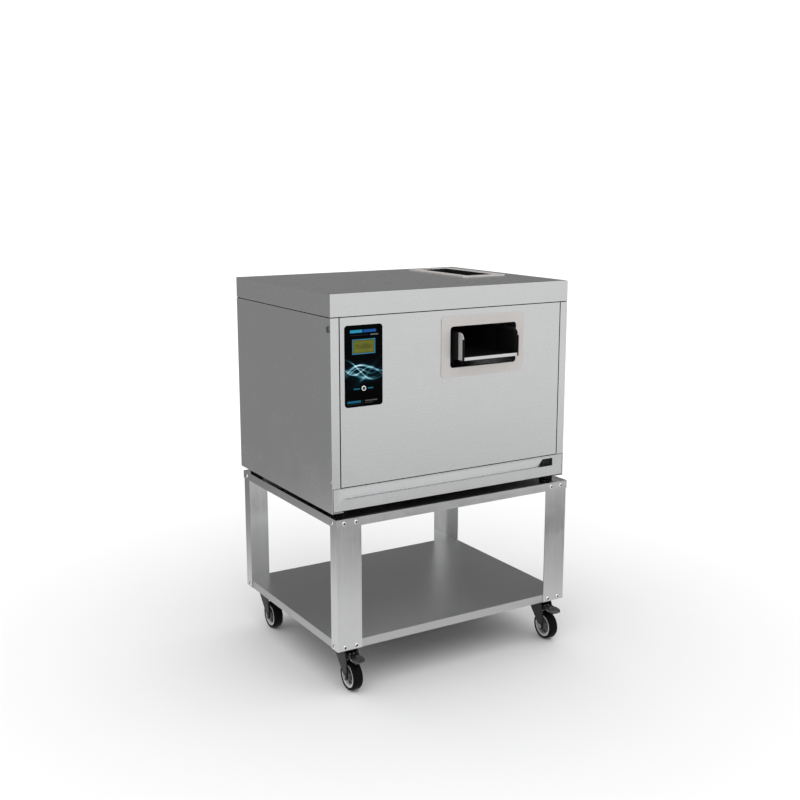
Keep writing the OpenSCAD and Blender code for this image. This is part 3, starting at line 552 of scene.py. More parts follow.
def add_box(bm, a, b, r=0.0, seg=2, mat=0, matrix=None):
    """Box between two corners given as P() points, with rounded edges of r mm."""
    part = bmesh.new()
    size = b - a
    bmesh.ops.create_cube(part, size=1.0, matrix=Matrix.Translation((a + b) / 2) @ Matrix.Diagonal((*size, 1.0)))
    if r > 0:
        w = min(r * MM, min(size) * 0.45)
        bmesh.ops.bevel(part, geom=part.edges[:], offset=w, segments=seg, profile=0.5, affect="EDGES")
    for f in part.faces:
        f.material_index = mat
    if matrix is not None:
        part.transform(matrix)
    merge(bm, part)


def add_prism(bm, outline, origin, ux, uy, h, r=0.0, seg=2, mat=0):
    """Prism on an outline in mm, drawn in the plane ux, uy at the origin, with height h along their cross product."""
    part = bmesh.new()
    ux, uy = Vector(ux), Vector(uy)
    n = ux.cross(uy)
    vs = [part.verts.new(origin + ux * (p[0] * MM) + uy * (p[1] * MM)) for p in outline]
    f = part.faces.new(vs)
    ext = bmesh.ops.extrude_face_region(part, geom=[f])
    bmesh.ops.translate(part, verts=[v for v in ext["geom"] if isinstance(v, bmesh.types.BMVert)], vec=n * (h * MM))
    bmesh.ops.recalc_face_normals(part, faces=part.faces)
    if r > 0:
        edges = [e for e in part.edges if len(e.link_faces) == 2 and e.calc_face_angle() > math.radians(25)]
        bmesh.ops.bevel(part, geom=edges, offset=r * MM, segments=seg, profile=0.5, affect="EDGES", clamp_overlap=True)
    for f in part.faces:
        f.material_index = mat
    merge(bm, part)


def merge(bm, part):
    me = bpy.data.meshes.new("part")
    part.to_mesh(me)
    part.free()
    bm.from_mesh(me)
    bpy.data.meshes.remove(me)


def add_tube(bm, points, radius, sides=10, mat=0, cap=True):
    """Round wire along points."""
    rings = []
    up = Vector((0, 0, 1))
    for i, p in enumerate(points):
        t = (points[min(i + 1, len(points) - 1)] - points[max(i - 1, 0)]).normalized()
        side = t.cross(up)
        if side.length < 1e-4:
            side = t.cross(Vector((1, 0, 0)))
        side.normalize()
        v = side.cross(t)
        rings.append([bm.verts.new(p + (side * math.cos(2 * math.pi * k / sides) + v * math.sin(2 * math.pi * k / sides)) * radius) for k in range(sides)])
    for a, b in zip(rings, rings[1:]):
        for k in range(sides):
            f = bm.faces.new((a[k], a[(k + 1) % sides], b[(k + 1) % sides], b[k]))
            f.material_index = mat
    if cap:
        bm.faces.new(rings[0]).material_index = mat
        bm.faces.new(rings[-1]).material_index = mat


def circle(cx, cy, r, n=24, a0=0.0, a1=360.0):
    full = abs(a1 - a0) >= 360
    return [(cx + r * math.cos(math.radians(a0 + (a1 - a0) * i / (n if full else n - 1))), cy + r * math.sin(math.radians(a0 + (a1 - a0) * i / (n if full else n - 1)))) for i in range(n)]


def rounded(x0, x1, y0, y1, r, n=6):
    out = []
    for cx, cy, a in ((x1 - r, y0 + r, -90), (x1 - r, y1 - r, 0), (x0 + r, y1 - r, 90), (x0 + r, y0 + r, 180)):
        out += circle(cx, cy, r, n, a, a + 90)
    return out


# ------------------------------------------------------------------ CAD nodes that stay
def dress(node, mat, bevel=0.0, seg=2, angle=30.0, dissolve=True):
    o = NODES[node]
    o.data.materials.clear()
    o.data.materials.append(M[mat])
    if bevel:
        w = o.modifiers.new("weld", "WELD")
        w.merge_threshold = 2e-6
        if dissolve:
            d = o.modifiers.new("planar", "DECIMATE")
            d.decimate_type = "DISSOLVE"
            d.angle_limit = math.radians(0.3)
        b = o.modifiers.new("bevel", "BEVEL")
        b.width = bevel * MM
        b.segments = seg
        b.limit_method = "ANGLE"
        b.angle_limit = math.radians(angle)
        b.use_clamp_overlap = True
        b.miter_outer = "MITER_ARC"
        b.harden_normals = False
        n = o.modifiers.new("normals", "WEIGHTED_NORMAL")
        n.keep_sharp = False
        n.weight = 80
    return o


dress("top_cover", "cover", 0.7, 3)
dress("side_panel_left", "cabinet", 0.35)
dress("side_panel_right", "cabinet", 0.35)
dress("rear_panel", "cabinet_rear", 0.2, dissolve=False)
dress("base_plate", "inside", 0.3)
dress("front_rail", "cabinet_front", 0.4)
dress("door_panel", "cabinet_front", 0.5, 3)
dress("outlet_collar", "trim_collar", 0.35, 3)
dress("inlet_frame", "trim_inlet", 0.5, 3)
dress("inlet_hopper", "tank", 0.2)
dress("trolley_top", "trolley", 0.7, 3)
dress("trolley_shelf", "shelf", 0.7, 3)
for leg in ("leg_front_left", "leg_front_right", "leg_rear_left", "leg_rear_right"):
    dress(leg, "leg", 0.4)
dress("outlet_chute", "chute", 0.35, 2)
dress("chute_liner", "rubber", 0.4, 2)
dress("tank_floor", "tank")
dress("tank_wall", "tank")
dress("motor_housing", "iron")
dress("eccentric_rotor", "rotor")
dress("heater_ring", "heater")
dress("door_pins", "screw")
dress("lock_left", "lock")
dress("lock_right", "lock")
dress("control_overlay", "overlay", 0.15, 2)
dress("lcd_screen", "lcd")
dress("uv_lamp_sockets", "ceramic", 0.8, 3)
dress("switch_housing", "black", 0.3, 2)
dress("switch_rocker", "black", 0.4, 3)
for c in ("fl", "fr", "rl", "rr"):
    dress("fork_" + c, "caster", 0.5, 3, 40.0)
dress("caster_stems", "caster")
for c in ("fl", "fr", "rl", "rr"):
    dress("axle_" + c, "axle")


# ------------------------------------------------------------------ wheels
HUB = {}
for c in ("fl", "fr", "rl", "rr"):
    lo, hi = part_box("tyre_" + c)
    mid = (lo + hi) / 2
    HUB[c] = mid
    spin = axis_matrix(mid, (1, 0, 0))
    bm = bmesh.new()
    prof = [(29.9, -11.7), (30.6, -12.7), (31.6, -13.3), (33.2, -13.35), (34.6, -12.75), (35.8, -11.6), (36.7, -9.6), (37.15, -8.0),
            (37.35, -7.0), (37.05, -6.7), (37.05, -5.9), (37.42, -5.6), (37.5, -2.0), (37.5, 2.0), (37.42, 5.6), (37.05, 5.9), (37.05, 6.7), (37.35, 7.0),
            (37.15, 8.0), (36.7, 9.6), (35.8, 11.6), (34.6, 12.75), (33.2, 13.35), (31.6, 13.3), (30.6, 12.7), (29.9, 11.7)]
    add_lathe(bm, prof, 96, spin)
    finish_mesh(bm, "tyre_moulded_" + c, "tyre", "wheel_" + c, 30, ("tyre_" + c,))
    # rim: pale outer ring, dark recessed web with ribs, hub
    bm = bmesh.new()
    ring = soften([(23.4, -9.4), (24.6, -11.5), (30.0, -11.6), (30.0, 11.6), (24.6, 11.5), (23.4, 9.4), (22.6, 2.6), (22.6, -2.6)], 0.5)
    add_lathe(bm, ring, 80, spin, mat=0)
    finish_mesh(bm, "rim_ring_" + c, "rim", "wheel_" + c, 30, ("rim_" + c,))
    bm = bmesh.new()
    web = soften([(4.06, -14.6), (8.8, -14.6), (9.8, -13.6), (10.2, -4.6), (12.0, -3.6), (22.7, -2.8), (22.7, 2.8), (12.0, 3.6), (10.2, 4.6), (9.8, 13.6), (8.8, 14.6), (4.06, 14.6)], 0.6)
    add_lathe(bm, web, 64, spin)
    for side in (-1, 1):
        for k in range(6):
            a = k * 60 + 30
            turn = spin @ Matrix.Rotation(math.radians(a), 4, "Z")
            part = bmesh.new()
            outline = [(9.6, 2.9 * side), (22.9, 2.5 * side), (22.9, 6.4 * side), (9.6, 10.5 * side)]
            for s in (-0.9, 0.9):
                for p in outline:
                    part.verts.new(turn @ Vector((p[0] * MM, s * MM, p[1] * MM)))
            part.verts.ensure_lookup_table()
            v = part.verts
            part.faces.new(v[0:4])
            part.faces.new(v[4:8])
            for i in range(4):
                part.faces.new((v[i], v[(i + 1) % 4], v[4 + (i + 1) % 4], v[4 + i]))
            bmesh.ops.recalc_face_normals(part, faces=part.faces)
            bmesh.ops.bevel(part, geom=part.edges[:], offset=0.0003, segments=2, profile=0.5, affect="EDGES")
            merge(bm, part)
    finish_mesh(bm, "rim_web_" + c, "rim_dark", "wheel_" + c, 35)

# brake pedals with their rivets
for c in ("fl", "fr"):
    lo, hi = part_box("pedal_" + c)
    cx = (lo.x + hi.x) / 2
    py = HUB[c].y + 30 * MM  # the caster's swivel axis
    bm = bmesh.new()
    # side view of the pressed plate, y forward is negative, height z in mm
    side = [(-6, 87), (-1, 87), (0.5, 89), (-1, 92.2), (-6, 94), (-30, 93.4), (-60, 92.6), (-72, 91.2), (-76.6, 89.8), (-78.4, 87.4), (-76.8, 84.8),
            (-75.4, 85.0), (-73.6, 86.3), (-70, 87.0), (-52, 87.6), (-37, 87.8), (-36, 82.2), (-34.6, 81.6), (-25.4, 81.6), (-24, 82.6), (-20.6, 87)]
    part = bmesh.new()
    vs = [part.verts.new((cx - 13.4 * MM, py + p[0] * MM, p[1] * MM)) for p in side]
    f = part.faces.new(vs)
    ext = bmesh.ops.extrude_face_region(part, geom=[f])
    bmesh.ops.translate(part, verts=[v for v in ext["geom"] if isinstance(v, bmesh.types.BMVert)], vec=(26.8 * MM, 0, 0))
    # cut across, so that the plate can be narrowed towards its nose and waist
    for t in (0.16, 0.5, 0.84):
        bmesh.ops.bisect_plane(part, geom=part.verts[:] + part.edges[:] + part.faces[:], plane_co=(cx + (t - 0.5) * 26.8 * MM, 0, 0), plane_no=(1, 0, 0))
    for y in (-14, -44, -52, -66):
        bmesh.ops.bisect_plane(part, geom=part.verts[:] + part.edges[:] + part.faces[:], plane_co=(0, py + y * MM, 0), plane_no=(0, 1, 0))
    for v in part.verts:
        y = (v.co.y - py) / MM
        u = (v.co.x - cx) / (13.4 * MM)
        k = 1.0
        if y < -66:
            k = 1.0 - 0.30 * min(1.0, (-66 - y) / 12.6) ** 2
        elif -48 < y < -10:
            k = 0.90
        if y < -51:
            k *= 1.2
        v.co.x = cx + u * k * 13.4 * MM
        if y < -66 and abs(u) > 0.6:
            v.co.y += 2.2 * MM * min(1.0, (-66 - y) / 12.6)
    bmesh.ops.recalc_face_normals(part, faces=part.faces)
    edges = [e for e in part.edges if len(e.link_faces) == 2 and e.calc_face_angle() > math.radians(40)]
    bmesh.ops.bevel(part, geom=edges, offset=0.0009, segments=3, profile=0.5, affect="EDGES", clamp_overlap=True)
    merge(bm, part)
    # barrel round the pivot
    add_lathe(bm, soften([(3.1, -13.4), (5.1, -13.4), (5.1, 13.4), (3.1, 13.4)], 0.4), 40, axis_matrix(Vector((cx, py - 8 * MM, 90 * MM)), (1, 0, 0)))
    # turned-up edges of the pressing
    for sgn in (-1, 1):
        edge = bmesh.new()
        rows = []
        for y in (-13, -20, -30, -42, -48.5):
            z = 94 - 1.4 * (-6 - y) / 54
            rows.append([edge.verts.new(Vector((cx + sgn * x * MM, py + y * MM, (z + h) * MM))) for x, h in ((10.2, -1.0), (10.6, 1.3), (11.6, 1.6), (12.0, 1.2), (12.0, -1.0))])
        for a, b in zip(rows, rows[1:]):
            for i in range(5):
                edge.faces.new((a[i], a[(i + 1) % 5], b[(i + 1) % 5], b[i]))
        edge.faces.new(rows[0])
        edge.faces.new(rows[-1])
        bmesh.ops.recalc_face_normals(edge, faces=edge.faces)
        merge(bm, edge)
    # grip ribs on the tread
    for k in range(4):
        y = -70.5 + k * 4.2
        top = 91.37 + (y + 70.5) * 0.115
        add_box(bm, Vector((cx - 11.5 * MM, py + (y - 0.8) * MM, (top - 1.0) * MM)), Vector((cx + 11.5 * MM, py + (y + 0.8) * MM, (top + 0.85) * MM)), 0.35, 2)
    finish_mesh(bm, "pedal_pressed_" + c, "pedal", "brake_" + c, 35, ("pedal_" + c,))
    bm = bmesh.new()
    for s in (-1, 1):
        add_lathe(bm, [(0, 0.0), (3.5, 0.0), (3.6, 0.4), (3.0, 1.0), (1.9, 1.35), (0, 1.45)], 24,
                  axis_matrix(Vector((cx + s * 5.2 * MM, py - 30 * MM, 93.25 * MM)), (0, 0, 1)), closed=False)
    finish_mesh(bm, "pedal_rivets_" + c, "screw", "brake_" + c, 35)

# bearing dust caps and ball race between stem plate and fork
for c in ("fl", "fr", "rl", "rr"):
    lo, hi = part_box("fork_" + c)
    cxx = (lo.x + hi.x) / 2
    yy = HUB[c].y + 30 * MM
    bm = bmesh.new()
    add_lathe(bm, soften([(12.5, 104.45), (21.5, 104.45), (22.6, 104.1), (22.6, 103.3), (20.5, 99.55), (12.5, 99.55)], 0.3), 48, axis_matrix(Vector((cxx, yy, 0)), (0, 0, 1)))
    finish_mesh(bm, "swivel_race_" + c, "spring", "caster_" + c, 35)


# ------------------------------------------------------------------ button-head screws
def screw_at(bm, origin, axis, grip):
    mtx = axis_matrix(origin, axis)
    # head dome with a hexagon socket
    seg = 24
    head = [(5.4, 0.0), (5.42, -0.35), (5.15, -1.05), (4.55, -1.72), (3.85, -2.20), (3.15, -2.45)]
    rings = [[bm.verts.new(mtx @ Vector((r * MM * math.cos(2 * math.pi * i / seg), r * MM * math.sin(2 * math.pi * i / seg), h * MM))) for i in range(seg)] for r, h in head]

    def hexa(rad, h):
        out = []
        for i in range(seg):
            a = 360.0 * i / seg
            k = math.cos(math.radians(30)) / math.cos(math.radians((a % 60) - 30))
            out.append(bm.verts.new(mtx @ Vector((rad * k * MM * math.cos(math.radians(a)), rad * k * MM * math.sin(math.radians(a)), h * MM))))
        return out

    rings += [hexa(3.05, -2.44), hexa(2.95, -2.30), hexa(2.95, -0.45)]
    for k, (a, b) in enumerate(zip(rings, rings[1:])):
        for i in range(seg):
            bm.faces.new((a[i], a[(i + 1) % seg], b[(i + 1) % seg], b[i])).material_index = 1 if k == len(rings) - 2 else 0
    tip = bm.verts.new(mtx @ Vector((0, 0, -0.1 * MM)))
    for i in range(seg):
        bm.faces.new((rings[-1][i], rings[-1][(i + 1) % seg], tip)).material_index = 1
    # shank, thread and nut
    shank = [(5.4, 0.0), (3.0, 0.0), (3.0, grip)]
    n = int(6.0 / 0.5)
    for k in range(n):
        shank += [(2.98, grip + k * 0.5 + 0.12), (2.62, grip + k * 0.5 + 0.37)]
    shank += [(2.6, grip + 6.0), (0, grip + 6.0)]
    low = rings[0]
    prev = low
    for r, h in shank[1:]:
        if r == 0:
            c0 = bm.verts.new(mtx @ Vector((0, 0, h * MM)))
            for i in range(seg):
                bm.faces.new((prev[i], prev[(i + 1) % seg], c0))
            break
        cur = [bm.verts.new(mtx @ Vector((r * MM * math.cos(2 * math.pi * i / seg), r * MM * math.sin(2 * math.pi * i / seg), h * MM))) for i in range(seg)]
        for i in range(seg):
            bm.faces.new((prev[i], prev[(i + 1) % seg], cur[(i + 1) % seg], cur[i]))
        prev = cur
    nut = bmesh.new()
    hexo = circle(0, 0, 5.4, 6)
    vs = [nut.verts.new(mtx @ Vector((p[0] * MM, p[1] * MM, (grip + 0.02) * MM))) for p in hexo]
    f = nut.faces.new(vs)
    ext = bmesh.ops.extrude_face_region(nut, geom=[f])
    bmesh.ops.translate(nut, verts=[v for v in ext["geom"] if isinstance(v, bmesh.types.BMVert)], vec=(mtx.to_3x3() @ Vector((0, 0, 4.55 * MM))))
    bmesh.ops.recalc_face_normals(nut, faces=nut.faces)
    bmesh.ops.bevel(nut, geom=nut.edges[:], offset=0.0003, segments=2, profile=0.5, affect="EDGES")
    merge(bm, nut)


TY0, TY1 = -19.0, 528.0
bm = bmesh.new()
for mx in (0, 1):
    for my in (0, 1):
        def at(x, y, z):
            return P(700 - x if mx else x, (TY0 + TY1) - y if my else y, z)

        sx, sy = (-1 if mx else 1), (-1 if my else 1)
        for x in (20.5, 53):
            screw_at(bm, at(x, TY0, 434), (0, sy, 0), 3.5)
            screw_at(bm, at(x, TY0 + 1.5, 119.5), (0, sy, 0), 3.5)
        screw_at(bm, at(-0.5, TY0 + 22, 434), (sx, 0, 0), 3.5)
        screw_at(bm, at(1.0, TY0 + 22, 119.5), (sx, 0, 0), 3.5)
for x in (9, 691):
    for z in (485, 590, 695, 800, 900):
        screw_at(bm, P(x, 542.5, z), (0, -1, 0), 3.0)
finish_mesh(bm, "socket_head_screws", ["screw", "socket"], "root", 32, ("button_screws",))


# ------------------------------------------------------------------ controls
bx = (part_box("start_button")[0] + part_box("start_button")[1]) / 2
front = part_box("start_button")[0].y
face = axis_matrix(Vector((bx.x, front, bx.z)), (0, 1, 0))
bm = bmesh.new()
ring = soften([(3.7, 0.25), (4.5, 0.0), (5.6, 0.05), (6.25, 0.6), (6.25, 4.6), (8.2, 4.6), (8.2, 6.0), (6.25, 6.0), (6.25, 9.8), (3.7, 9.8)], 0.25)
add_lathe(bm, ring, 64, face)
finish_mesh(bm, "button_ring", "button", "button", 30, ("start_button",))
bm = bmesh.new()
add_lathe(bm, [(0, 1.05), (1.6, 1.0), (2.8, 0.8), (3.5, 0.62), (3.7, 0.7), (3.7, 9.7), (0, 9.7)], 48, face, closed=False)
finish_mesh(bm, "button_centre", "black", "button", 35)

# ------------------------------------------------------------------ tank springs, ramp, heater clamp
zlo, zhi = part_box("tank_springs")[0].z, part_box("tank_springs")[1].z
for i, (dx, dy) in enumerate(((-190, -190), (190, -190), (-190, 190), (190, 190))):
    bm = bmesh.new()
    pts = []
    turns, n = 6.0, 6 * 28
    for k in range(n + 1):
        t = k / n
        a = 2 * math.pi * turns * t
        # the end turns lie flat, as ground springs do
        e = 0.11
        base = 2.98
        span = (zhi - zlo) / MM - 2 * base
        if t < e:
            u = t / e * 0.05
        elif t > 1 - e:
            u = 1 - (1 - t) / e * 0.05
        else:
            u = 0.05 + (t - e) / (1 - 2 * e) * 0.90
        pts.append(P(275 + dx + 22 * math.cos(a), 285 + dy + 22 * math.sin(a), zlo / MM + base + u * span))
    add_tube(bm, pts, 2.97 * MM, 12)
    o = finish_mesh(bm, f"coil_spring_{i + 1}", "spring", None, 50, ("tank_springs",) if i == 0 else ())
    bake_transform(o)

bm = bmesh.new()
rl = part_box("spiral_ramp")[0]
z_low, z_high = rl.z / MM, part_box("outlet_chute")[0].z / MM - 0.5
n = 320
sec = [(110, 0), (237.3, 0), (237.3, 2), (113.2, 2), (112.3, 2.5), (112, 3.4), (112, 11.2), (111.6, 11.8), (111, 12), (110.4, 11.8), (110, 11.2)]
rows = []
for i in range(n + 1):
    a = math.radians(540.0 * (1 - i / n))
    z = z_low + (z_high - z_low) * i / n
    rows.append([bm.verts.new(P(275 + r * math.cos(a), 285 + r * math.sin(a), z + h)) for r, h in sec])
for a, b in zip(rows, rows[1:]):
    for k in range(len(sec)):
        bm.faces.new((a[k], a[(k + 1) % len(sec)], b[(k + 1) % len(sec)], b[k]))
bm.faces.new(rows[0])
bm.faces.new(rows[-1])
finish_mesh(bm, "spiral_ramp_sheet", "tank", "tank", 40, ("spiral_ramp",))

# rolled rim on the tank wall, open where the chute leaves
bm = bmesh.new()
wall_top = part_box("tank_wall")[1].z
c0 = P(275, 285, 0)
ang = []
k0, k1 = 0.8, 286.8  # degrees that the rim covers, counted from +X
pts = [Vector((c0.x + 239.0 * MM * math.cos(math.radians(a)), c0.y + 239.0 * MM * math.sin(math.radians(a)), wall_top - 1.6 * MM)) for a in [k0 + (k1 - k0) * i / 200 for i in range(201)]]
add_tube(bm, pts, 2.2 * MM, 10)
finish_mesh(bm, "tank_rolled_rim", "tank", "tank", 50)

# clamp lugs, screw and terminals of the band heater
bm = bmesh.new()
for s in (-1, 1):
    add_box(bm, P(275 + s * 7 - 1.2, 285 - 258, 578), P(275 + s * 7 + 1.2, 285 - 243.6, 600), 0.5, 2)
add_lathe(bm, soften([(0, -16), (3, -16), (3, 14), (0, 14)], 0.4), 20, axis_matrix(P(275, 285 - 252, 589), (1, 0, 0)), closed=False)
for x in (-12, 12):
    add_lathe(bm, soften([(0, x), (5.4, x), (5.4, x + (4 if x > 0 else -4)), (0, x + (4 if x > 0 else -4))], 0.4), 6, axis_matrix(P(275, 285 - 252, 589), (1, 0, 0)), closed=False)
finish_mesh(bm, "heater_clamp", "screw", "tank", 35)
bm = bmesh.new()
for x in (-38, -58):
    add_lathe(bm, [(0, 0), (5.5, 0), (5.5, 3.5), (4.2, 4.2), (4.2, 8.5), (3.2, 9.2), (0, 9.2)], 24, axis_matrix(P(275 + x, 285 - math.sqrt(243.6 ** 2 - x * x), 589), (x / 243.6, -math.sqrt(1 - (x / 243.6) ** 2), 0)), closed=False)
finish_mesh(bm, "heater_terminals", "ceramic", "tank", 35)

# ------------------------------------------------------------------ germicidal lamp
la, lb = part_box("uv_lamp")
lc = (la + lb) / 2
tube = axis_matrix(Vector((lc.x, la.y, lc.z)), (0, 1, 0))
bm = bmesh.new()
add_lathe(bm, [(0, 7.2), (5.2, 7.3), (7.4, 8.0), (8.0, 9.6), (8.0, 278.4), (7.4, 280.0), (5.2, 280.7), (0, 280.8)], 40, tube, closed=False)
finish_mesh(bm, "lamp_tube", "glass", "root", 60, ("uv_lamp",))
bm = bmesh.new()
for h, k in ((0.0, 1), (288.0, -1)):
    add_lathe(bm, [(0, h), (7.8, h), (8.5, h + k * 0.5), (8.6, h + k * 1.2), (8.6, h + k * 11.2), (8.35, h + k * 11.6), (8.1, h + k * 11.6), (8.1, h + k * 12.4), (0, h + k * 12.4)], 40, tube, closed=False)
finish_mesh(bm, "lamp_caps", "button", "root", 35)
bm = bmesh.new()
for h, k in ((12.0, 1), (276.0, -1)):
    for s in (-2.4, 2.4):
        add_tube(bm, [tube @ Vector((s * MM, 0, (h + k * t) * MM)) for t in (0, 4, 8, 11, 13)], 0.35 * MM, 8)
    coil = [tube @ Vector(((-2.4 + 4.8 * t / 60) * MM, 0.9 * math.cos(t * 0.9) * MM, (h + k * (12.6 + 0.9 * math.sin(t * 0.9))) * MM)) for t in range(61)]
    add_tube(bm, coil, 0.28 * MM, 6)
finish_mesh(bm, "lamp_electrodes", "spring", "root", 60)

# ------------------------------------------------------------------ power board
bm = bmesh.new()
add_box(bm, P(545, 80, 475.6), P(675, 250, 477.2), 0.3, 2)
finish_mesh(bm, "power_circuit_board", "pcb", "root", 35, ("power_board",))
bm = bmesh.new()
for x in (552, 668):
    for y in (87, 243):
        add_lathe(bm, soften([(0, 0), (4, 0), (4, 16), (0, 16)], 0.3), 6, axis_matrix(P(x, y, 459.6), (0, 0, 1)), closed=False)
        add_lathe(bm, [(0, 0), (3.2, 0), (3.1, 1.2), (2.2, 2.0), (0, 2.1)], 20, axis_matrix(P(x, y, 477.2), (0, 0, 1)), closed=False)
finish_mesh(bm, "board_pillars", "screw", "root", 35)
bm = bmesh.new()
add_box(bm, P(560, 95, 478.0), P(612, 103, 515), 0.6, 2)
add_box(bm, P(560, 132, 478.0), P(612, 140, 515), 0.6, 2)
add_box(bm, P(560.1, 103.05, 506), P(611.9, 131.95, 514.9), 0.6, 2)
add_box(bm, P(560.1, 103.05, 478.1), P(611.9, 131.95, 485), 0.6, 2)
add_box(bm, P(579, 103.1, 485.05), P(593, 131.9, 505.95), 0.4, 2)
finish_mesh(bm, "transformer_core", "core", "root", 35)
bm = bmesh.new()
add_prism(bm, rounded(-11, 11, -17.5, 17.5, 3), P(586, 117.5, 486.2), (1, 0, 0), (0, 1, 0), 18.6, 0.5, 2)
finish_mesh(bm, "transformer_winding", "copper", "root", 35)
bm = bmesh.new()
for x in (628, 650):
    add_lathe(bm, [(0, 0.4), (8.4, 0.4), (9, 1.0), (9, 2.6), (8.6, 3.1), (9, 3.7), (9, 29.2), (8.5, 29.8), (7.95, 29.8), (7.95, 28.4), (0, 28.4)], 40, axis_matrix(P(x, 110, 477.2), (0, 0, 1)), closed=False)
finish_mesh(bm, "capacitor_sleeves", "cap_sleeve", "root", 35)
bm = bmesh.new()
for x in (628, 650):
    add_lathe(bm, [(0, 28.9), (7.9, 29.2), (7.9, 20), (0, 20)], 40, axis_matrix(P(x, 110, 477.2), (0, 0, 1)), closed=False)
    for t in (0, 90):
        part_m = axis_matrix(P(x, 110, 477.2 + 29.15), (0, 0, 1)) @ Matrix.Rotation(math.radians(t), 4, "Z")
        add_box(bm, Vector((-5.5 * MM, -0.3 * MM, -0.15 * MM)), Vector((5.5 * MM, 0.3 * MM, 0.12 * MM)), 0.05, 1, matrix=part_m)
finish_mesh(bm, "capacitor_tops", "spring", "root", 35)
bm = bmesh.new()
for i in range(3):
    add_box(bm, P(556 + i * 24, 200, 477.4), P(574 + i * 24, 230, 493), 0.8, 3)
finish_mesh(bm, "relays", "relay", "root", 35)
bm = bmesh.new()
add_box(bm, P(640, 160, 477.4), P(643, 235, 512), 0.4, 2)
for i in range(5):
    add_box(bm, P(642.5, 162 + i * 16, 477.4), P(660, 165 + i * 16, 512), 0.5, 2)
finish_mesh(bm, "heat_sink", "spring", "root", 35)
bm = bmesh.new()
for i in range(8):
    add_box(bm, P(560 + i * 9.4, 238, 477.3), P(568.8 + i * 9.4, 248, 488.5), 0.5, 2)
    add_lathe(bm, [(0, 0), (2.6, 0), (2.6, 0.7), (2.2, 0.9), (0, 0.9)], 16, axis_matrix(P(564.4 + i * 9.4, 243, 488.4), (0, 0, 1)), closed=False)
finish_mesh(bm, "terminal_row", "terminal", "root", 35)
bm = bmesh.new()
for x, y, w, d, h in ((566, 160, 22, 9, 3.4), (602, 168, 14, 14, 2.4), (622, 148, 10, 5, 2.4), (560, 182, 9, 6, 2.6), (586, 184, 16, 6, 3.0), (620, 196, 12, 8, 5.0)):
    add_box(bm, P(x, y, 477.3), P(x + w, y + d, 477.3 + h), 0.35, 2)
finish_mesh(bm, "board_chips", "chip", "root", 35)
bm = bmesh.new()
for i in range(11):
    for s in (0, 1):
        add_box(bm, P(567 + i * 1.9, 158.4 if s == 0 else 169.0, 477.25), P(567.7 + i * 1.9, 160.2 if s == 0 else 170.8, 478.6), 0.1, 1)
for i in range(5):
    add_tube(bm, [P(606 + i * 5, 150, 477.2), P(606 + i * 5, 150, 480.0), P(606 + i * 5, 151.2, 481.0), P(606 + i * 5, 157, 481.0), P(606 + i * 5, 158.2, 480.0), P(606 + i * 5, 158.2, 477.2)], 0.35 * MM, 6)
finish_mesh(bm, "board_leads", "spring", "root", 40)
bm = bmesh.new()
for i in range(5):
    add_lathe(bm, soften([(0, -2.6), (1.4, -2.6), (1.6, -1.8), (1.25, -1.0), (1.25, 1.0), (1.6, 1.8), (1.4, 2.6), (0, 2.6)], 0.2), 16, axis_matrix(P(606 + i * 5, 154, 481.0), (0, 1, 0)), closed=False)
finish_mesh(bm, "board_resistors", "ceramic", "root", 40)

# ------------------------------------------------------------------ control board behind the overlay
bm = bmesh.new()
add_box(bm, P(46, 12, 735), P(130, 13.6, 886), 0.3, 2)
finish_mesh(bm, "control_circuit_board", "pcb", "door", 35, ("control_board",))
bm = bmesh.new()
for x in (51, 125):
    for z in (740, 881):
        add_lathe(bm, soften([(0, 0), (3, 0), (3, 10.4), (0, 10.4)], 0.3), 6, axis_matrix(P(x, 1.6, z), (0, 1, 0)), closed=False)
        add_lathe(bm, [(0, 0), (2.8, 0), (2.7, 1.2), (1.8, 1.9), (0, 2.0)], 20, axis_matrix(P(x, 13.6, z), (0, 1, 0)), closed=False)
finish_mesh(bm, "control_pillars", "screw", "door", 35)
bm = bmesh.new()
add_box(bm, P(83.4, 9.3, 748.8), P(91.4, 12, 756.8), 0.4, 2)
add_box(bm, P(74, 13.5, 780), P(94, 16, 800), 0.3, 2)
add_box(bm, P(52, 13.5, 776), P(60, 15.6, 786), 0.3, 2)
add_box(bm, P(104, 13.5, 764), P(116, 15.2, 770), 0.3, 2)
finish_mesh(bm, "control_chips", "chip", "door", 35)
bm = bmesh.new()
add_box(bm, P(60, 13.5, 820), P(112, 17, 828), 0.4, 2)
add_box(bm, P(106, 13.5, 796), P(124, 17, 803), 0.4, 2)
finish_mesh(bm, "control_connector", "ceramic", "door", 35)
bm = bmesh.new()
for i in range(18):
    add_box(bm, P(62 + i * 2.7, 16.2, 823.4), P(62.8 + i * 2.7, 17.8, 824.4), 0.1, 1)
for s in (0, 1):
    for i in range(9):
        add_box(bm, P(75.2 + i * 2.1, 13.5, 778.2 if s == 0 else 799.8), P(75.9 + i * 2.1, 14.6, 780.2 if s == 0 else 801.8), 0.1, 1)
finish_mesh(bm, "control_leads", "spring", "door", 40)

# ------------------------------------------------------------------ mains inlet
ia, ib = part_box("power_inlet")
bm = bmesh.new()
yb = 542.5
out = rounded(566, 614, 516, 546, 4.0)
hole = [(580.5, 523.5), (599.5, 523.5), (602, 526.0), (602, 538.5), (578, 538.5), (578, 526.0)]
# flange with a real recess: bridge the two outlines
def loop(points, y):
    return [bm.verts.new(P(x, y, z)) for x, z in points]


def span(a, b):
    for i in range(len(a)):
        bm.faces.new((a[i], a[(i + 1) % len(a)], b[(i + 1) % len(b)], b[i]))


